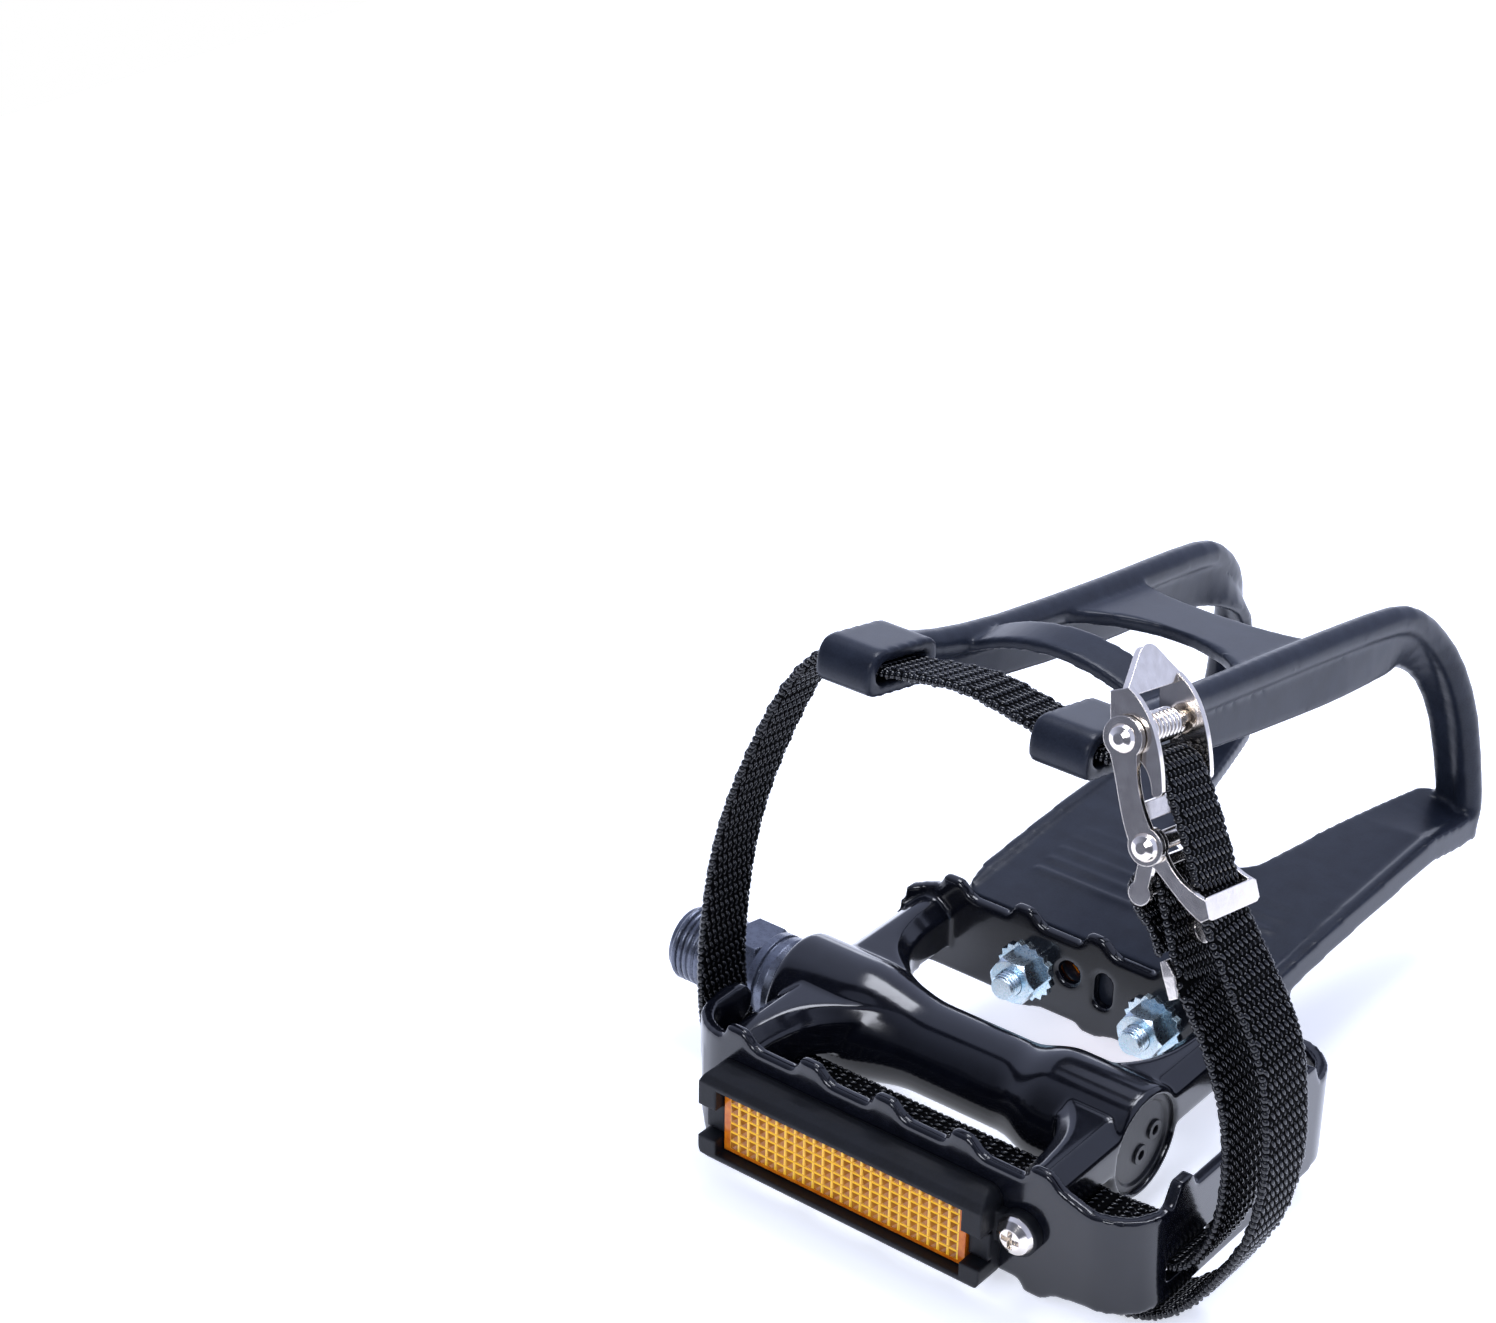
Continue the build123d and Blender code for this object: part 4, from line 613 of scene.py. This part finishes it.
def ribbon(name, start, end, body=None):
    """One length of the woven strap, from row start to row end."""
    core = bmesh.new()
    rings = []
    corners = len(CORE_SHAPE)
    for k in range(2 * start, 2 * end + 1):
        place, run, wide, face = along(k * ROW / 2)
        rings.append([core.verts.new(place + wide * (u * WIDE) + face * (v * THICK)) for u, v in CORE_SHAPE])
    for a, b in zip(rings, rings[1:]):
        for i in range(corners):
            core.faces.new((a[i], a[(i + 1) % corners], b[(i + 1) % corners], b[i]))
    core.faces.new(list(reversed(rings[0])))
    core.faces.new(rings[-1])
    bmesh.ops.recalc_face_normals(core, faces=core.faces)
    mesh = bpy.data.meshes.new(name)
    inside = len(core.faces)
    core.to_mesh(mesh)
    core.free()
    floats = []
    float_turns = []
    knots = []
    knot_turns = []
    cords = []
    cord_turns = []
    for row in range(start, end):
        place, run, wide, face = along((row + 0.5) * ROW)
        for side in (1, -1):
            up = face * side
            lay = run * math.cos(SLANT) + wide * (math.sin(SLANT) * side)
            turn = Matrix((lay.cross(up), lay, up)).transposed().to_quaternion()
            for column in range(COLUMNS - row % 2):
                u = (column + 0.5 + 0.5 * (row % 2)) / COLUMNS - 0.5
                floats.append(place + wide * (u * WIDE * SPREAD) + up * (THICK * FLOAT_RISE))
                float_turns.append(turn)
        place, run, wide, face = along((row + 1) * ROW)
        for side in (1, -1):
            up = face * side
            turn = Matrix((run.cross(up), run, up)).transposed().to_quaternion()
            for column in range(COLUMNS):
                u = (column + 0.25 + 0.5 * (row % 2)) / COLUMNS - 0.5
                knots.append(place + wide * (u * WIDE * SPREAD) + up * (THICK * KNOT_RISE))
                knot_turns.append(turn)
        for half_step in (0.25, 0.75):
            place, run, wide, face = along((row + half_step) * ROW)
            lay = (run * CORD_RUN + face * CORD_CLIMB).normalized()
            turn = Matrix((wide, lay, wide.cross(lay))).transposed().to_quaternion()
            for side in (1, -1):
                cords.append(place + wide * (side * WIDE * CORD_REACH))
                cord_turns.append(turn)
    yarn = [beads(floats, float_turns, FLOAT_SIZE), beads(knots, knot_turns, KNOT_SIZE),
            beads(cords, cord_turns, CORD_SIZE)]
    mesh = joined(name, [mesh] + yarn)
    mesh.shade_smooth()
    obj = piece(name, mesh, webbing, body)
    # The core's faces take the painted shade.
    mesh.materials.append(shadowed)
    for side in mesh.polygons[:inside]:
        side.material_index = 1
    return obj


# The ribbon is cut into lengths where it passes from the keeper to the pedal and back.
marks = [0, len(sewn) - 3]
for stretch in (sewn[-3:] + inner_strand, through + over_pin[:1], over_pin[1:], outer_strand):
    marks.append(marks[-1] + len(stretch))
cuts = [round(reach[min(k, len(reach) - 1)] / ROW) for k in marks]
cuts[-1] = int(reach[-1] / ROW)
fold = ribbon("strap_fold", cuts[0], cuts[1], "keeper")
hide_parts("strap")
strand = ribbon("strap_inner_strand", cuts[1], cuts[2])
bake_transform(strand)
ribbon("strap_loop", cuts[2], cuts[3], "pedal")
strand = ribbon("strap_at_buckle", cuts[3], cuts[4])
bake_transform(strand)
strand = ribbon("strap_outer_strand", cuts[4], cuts[5])
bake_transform(strand)

# Floor: a sheet of white paper under the object. It glows a little, so that it
# stays white to the camera while the object's shadow still shows on it.
FLOOR_SIZE = 1.3
FLOOR_X = 0.15
FLOOR_Y = 0.36
FLOOR_GAP = 0.0003
FLOOR_GLOW = 0.59
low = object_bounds()[0]
bpy.ops.mesh.primitive_plane_add(size=FLOOR_SIZE, location=(FLOOR_X, FLOOR_Y, low[2] - FLOOR_GAP))
floor = bpy.context.object
floor.name = "floor"
paper = bpy.data.materials.new("paper")
paper.use_nodes = True
shade = paper.node_tree.nodes["Principled BSDF"]
shade.inputs["Base Color"].default_value = linear("f2f4fa")
shade.inputs["Roughness"].default_value = 0.9
shade.inputs["Emission Color"].default_value = linear("f4f7ff")
shade.inputs["Emission Strength"].default_value = FLOOR_GLOW
floor.data.materials.append(paper)

# Studio: a pale room that is dimmer on the side of the viewer, which gives the
# plated pieces dark bands to mirror. The camera itself sees plain white.
DIM_SIDE = Vector((0.05, -0.96, 0.2)).normalized()
DIM_FROM = 0.1
DIM_TO = 0.85
BRIGHT_ROOM = 0.95
DIM_ROOM = 0.2
world = bpy.data.worlds.new("studio")
scene.world = world
world.use_nodes = True
tree = world.node_tree
tree.nodes.clear()
path = add(tree, "ShaderNodeLightPath")
facing = add(tree, "ShaderNodeVectorMath", operation="DOT_PRODUCT")
tree.links.new(add(tree, "ShaderNodeTexCoord").outputs["Generated"], facing.inputs[0])
facing.inputs[1].default_value = DIM_SIDE
dim = add(tree, "ShaderNodeMapRange", value=facing.outputs["Value"], from_min=DIM_FROM, from_max=DIM_TO,
          to_min=BRIGHT_ROOM, to_max=DIM_ROOM)
ambient = add(tree, "ShaderNodeBackground", color=linear("d2dcff"), strength=dim.outputs[0])
sight = add(tree, "ShaderNodeBackground", color=linear("ffffff"), strength=1.0)
mixed = add(tree, "ShaderNodeMixShader")
tree.links.new(path.outputs["Is Camera Ray"], mixed.inputs[0])
tree.links.new(ambient.outputs[0], mixed.inputs[1])
tree.links.new(sight.outputs[0], mixed.inputs[2])
out = add(tree, "ShaderNodeOutputWorld")
tree.links.new(mixed.outputs[0], out.inputs["Surface"])


# Lamps: three softboxes, one above and a little behind, one low at the back for
# the rims, and one in front. Each has a place, an aim, a size in metres and watts.
def softbox(name, place, aim, size, power):
    """A rectangular lamp at a place, turned to its aim."""
    lamp = bpy.data.lights.new(name, "AREA")
    lamp.shape = "RECTANGLE"
    lamp.size = size[0]
    lamp.size_y = size[1]
    lamp.energy = power
    lamp.color = linear("f0f4ff")[:3]
    holder = bpy.data.objects.new(name, lamp)
    scene.collection.objects.link(holder)
    holder.location = place
    holder.rotation_euler = (Vector(aim) - Vector(place)).to_track_quat("-Z", "Y").to_euler()


softbox("key", (0.0, 0.36, 0.95), (0.05, 0.02, 0.03), (0.5, 0.5), 7.5)
softbox("back", (-0.9, 0.9, 0.12), (0.05, 0.05, 0.06), (1.2, 0.2), 1.5)
softbox("fill", (0.2, -0.8, 0.6), (0.05, 0.02, 0.03), (0.35, 0.35), 4.0)

# Camera: the photo's view, fitted to the cage teeth, the lens, the barrel's rim
# and the bolts. The focal length is in pixels of the photo.
AZIMUTH = math.radians(38.2075)
ELEVATION = math.radians(27.9914)
ROLL = math.radians(0.9365)
FOCAL_PIXELS = 3319.2
PHOTO_WIDTH = 1496
SENSOR_MM = 36
STAND = (0.31105, -0.39475, 0.32845)
right = Vector((math.cos(AZIMUTH), math.sin(AZIMUTH), 0))
flat = math.cos(ELEVATION)
ahead = Vector((-math.sin(AZIMUTH) * flat, math.cos(AZIMUTH) * flat, -math.sin(ELEVATION)))
up = right.cross(ahead)
side = right * math.cos(ROLL) + up * math.sin(ROLL)
top = up * math.cos(ROLL) - right * math.sin(ROLL)
lens = bpy.data.cameras.new("camera")
lens.sensor_fit = "HORIZONTAL"
lens.sensor_width = SENSOR_MM
lens.lens = SENSOR_MM * FOCAL_PIXELS / PHOTO_WIDTH
lens.clip_start = 0.01
camera = bpy.data.objects.new("camera", lens)
scene.collection.objects.link(camera)
pose = Matrix((side, top, -ahead)).transposed().to_4x4()
pose.translation = Vector(STAND)
camera.matrix_world = pose
scene.camera = camera
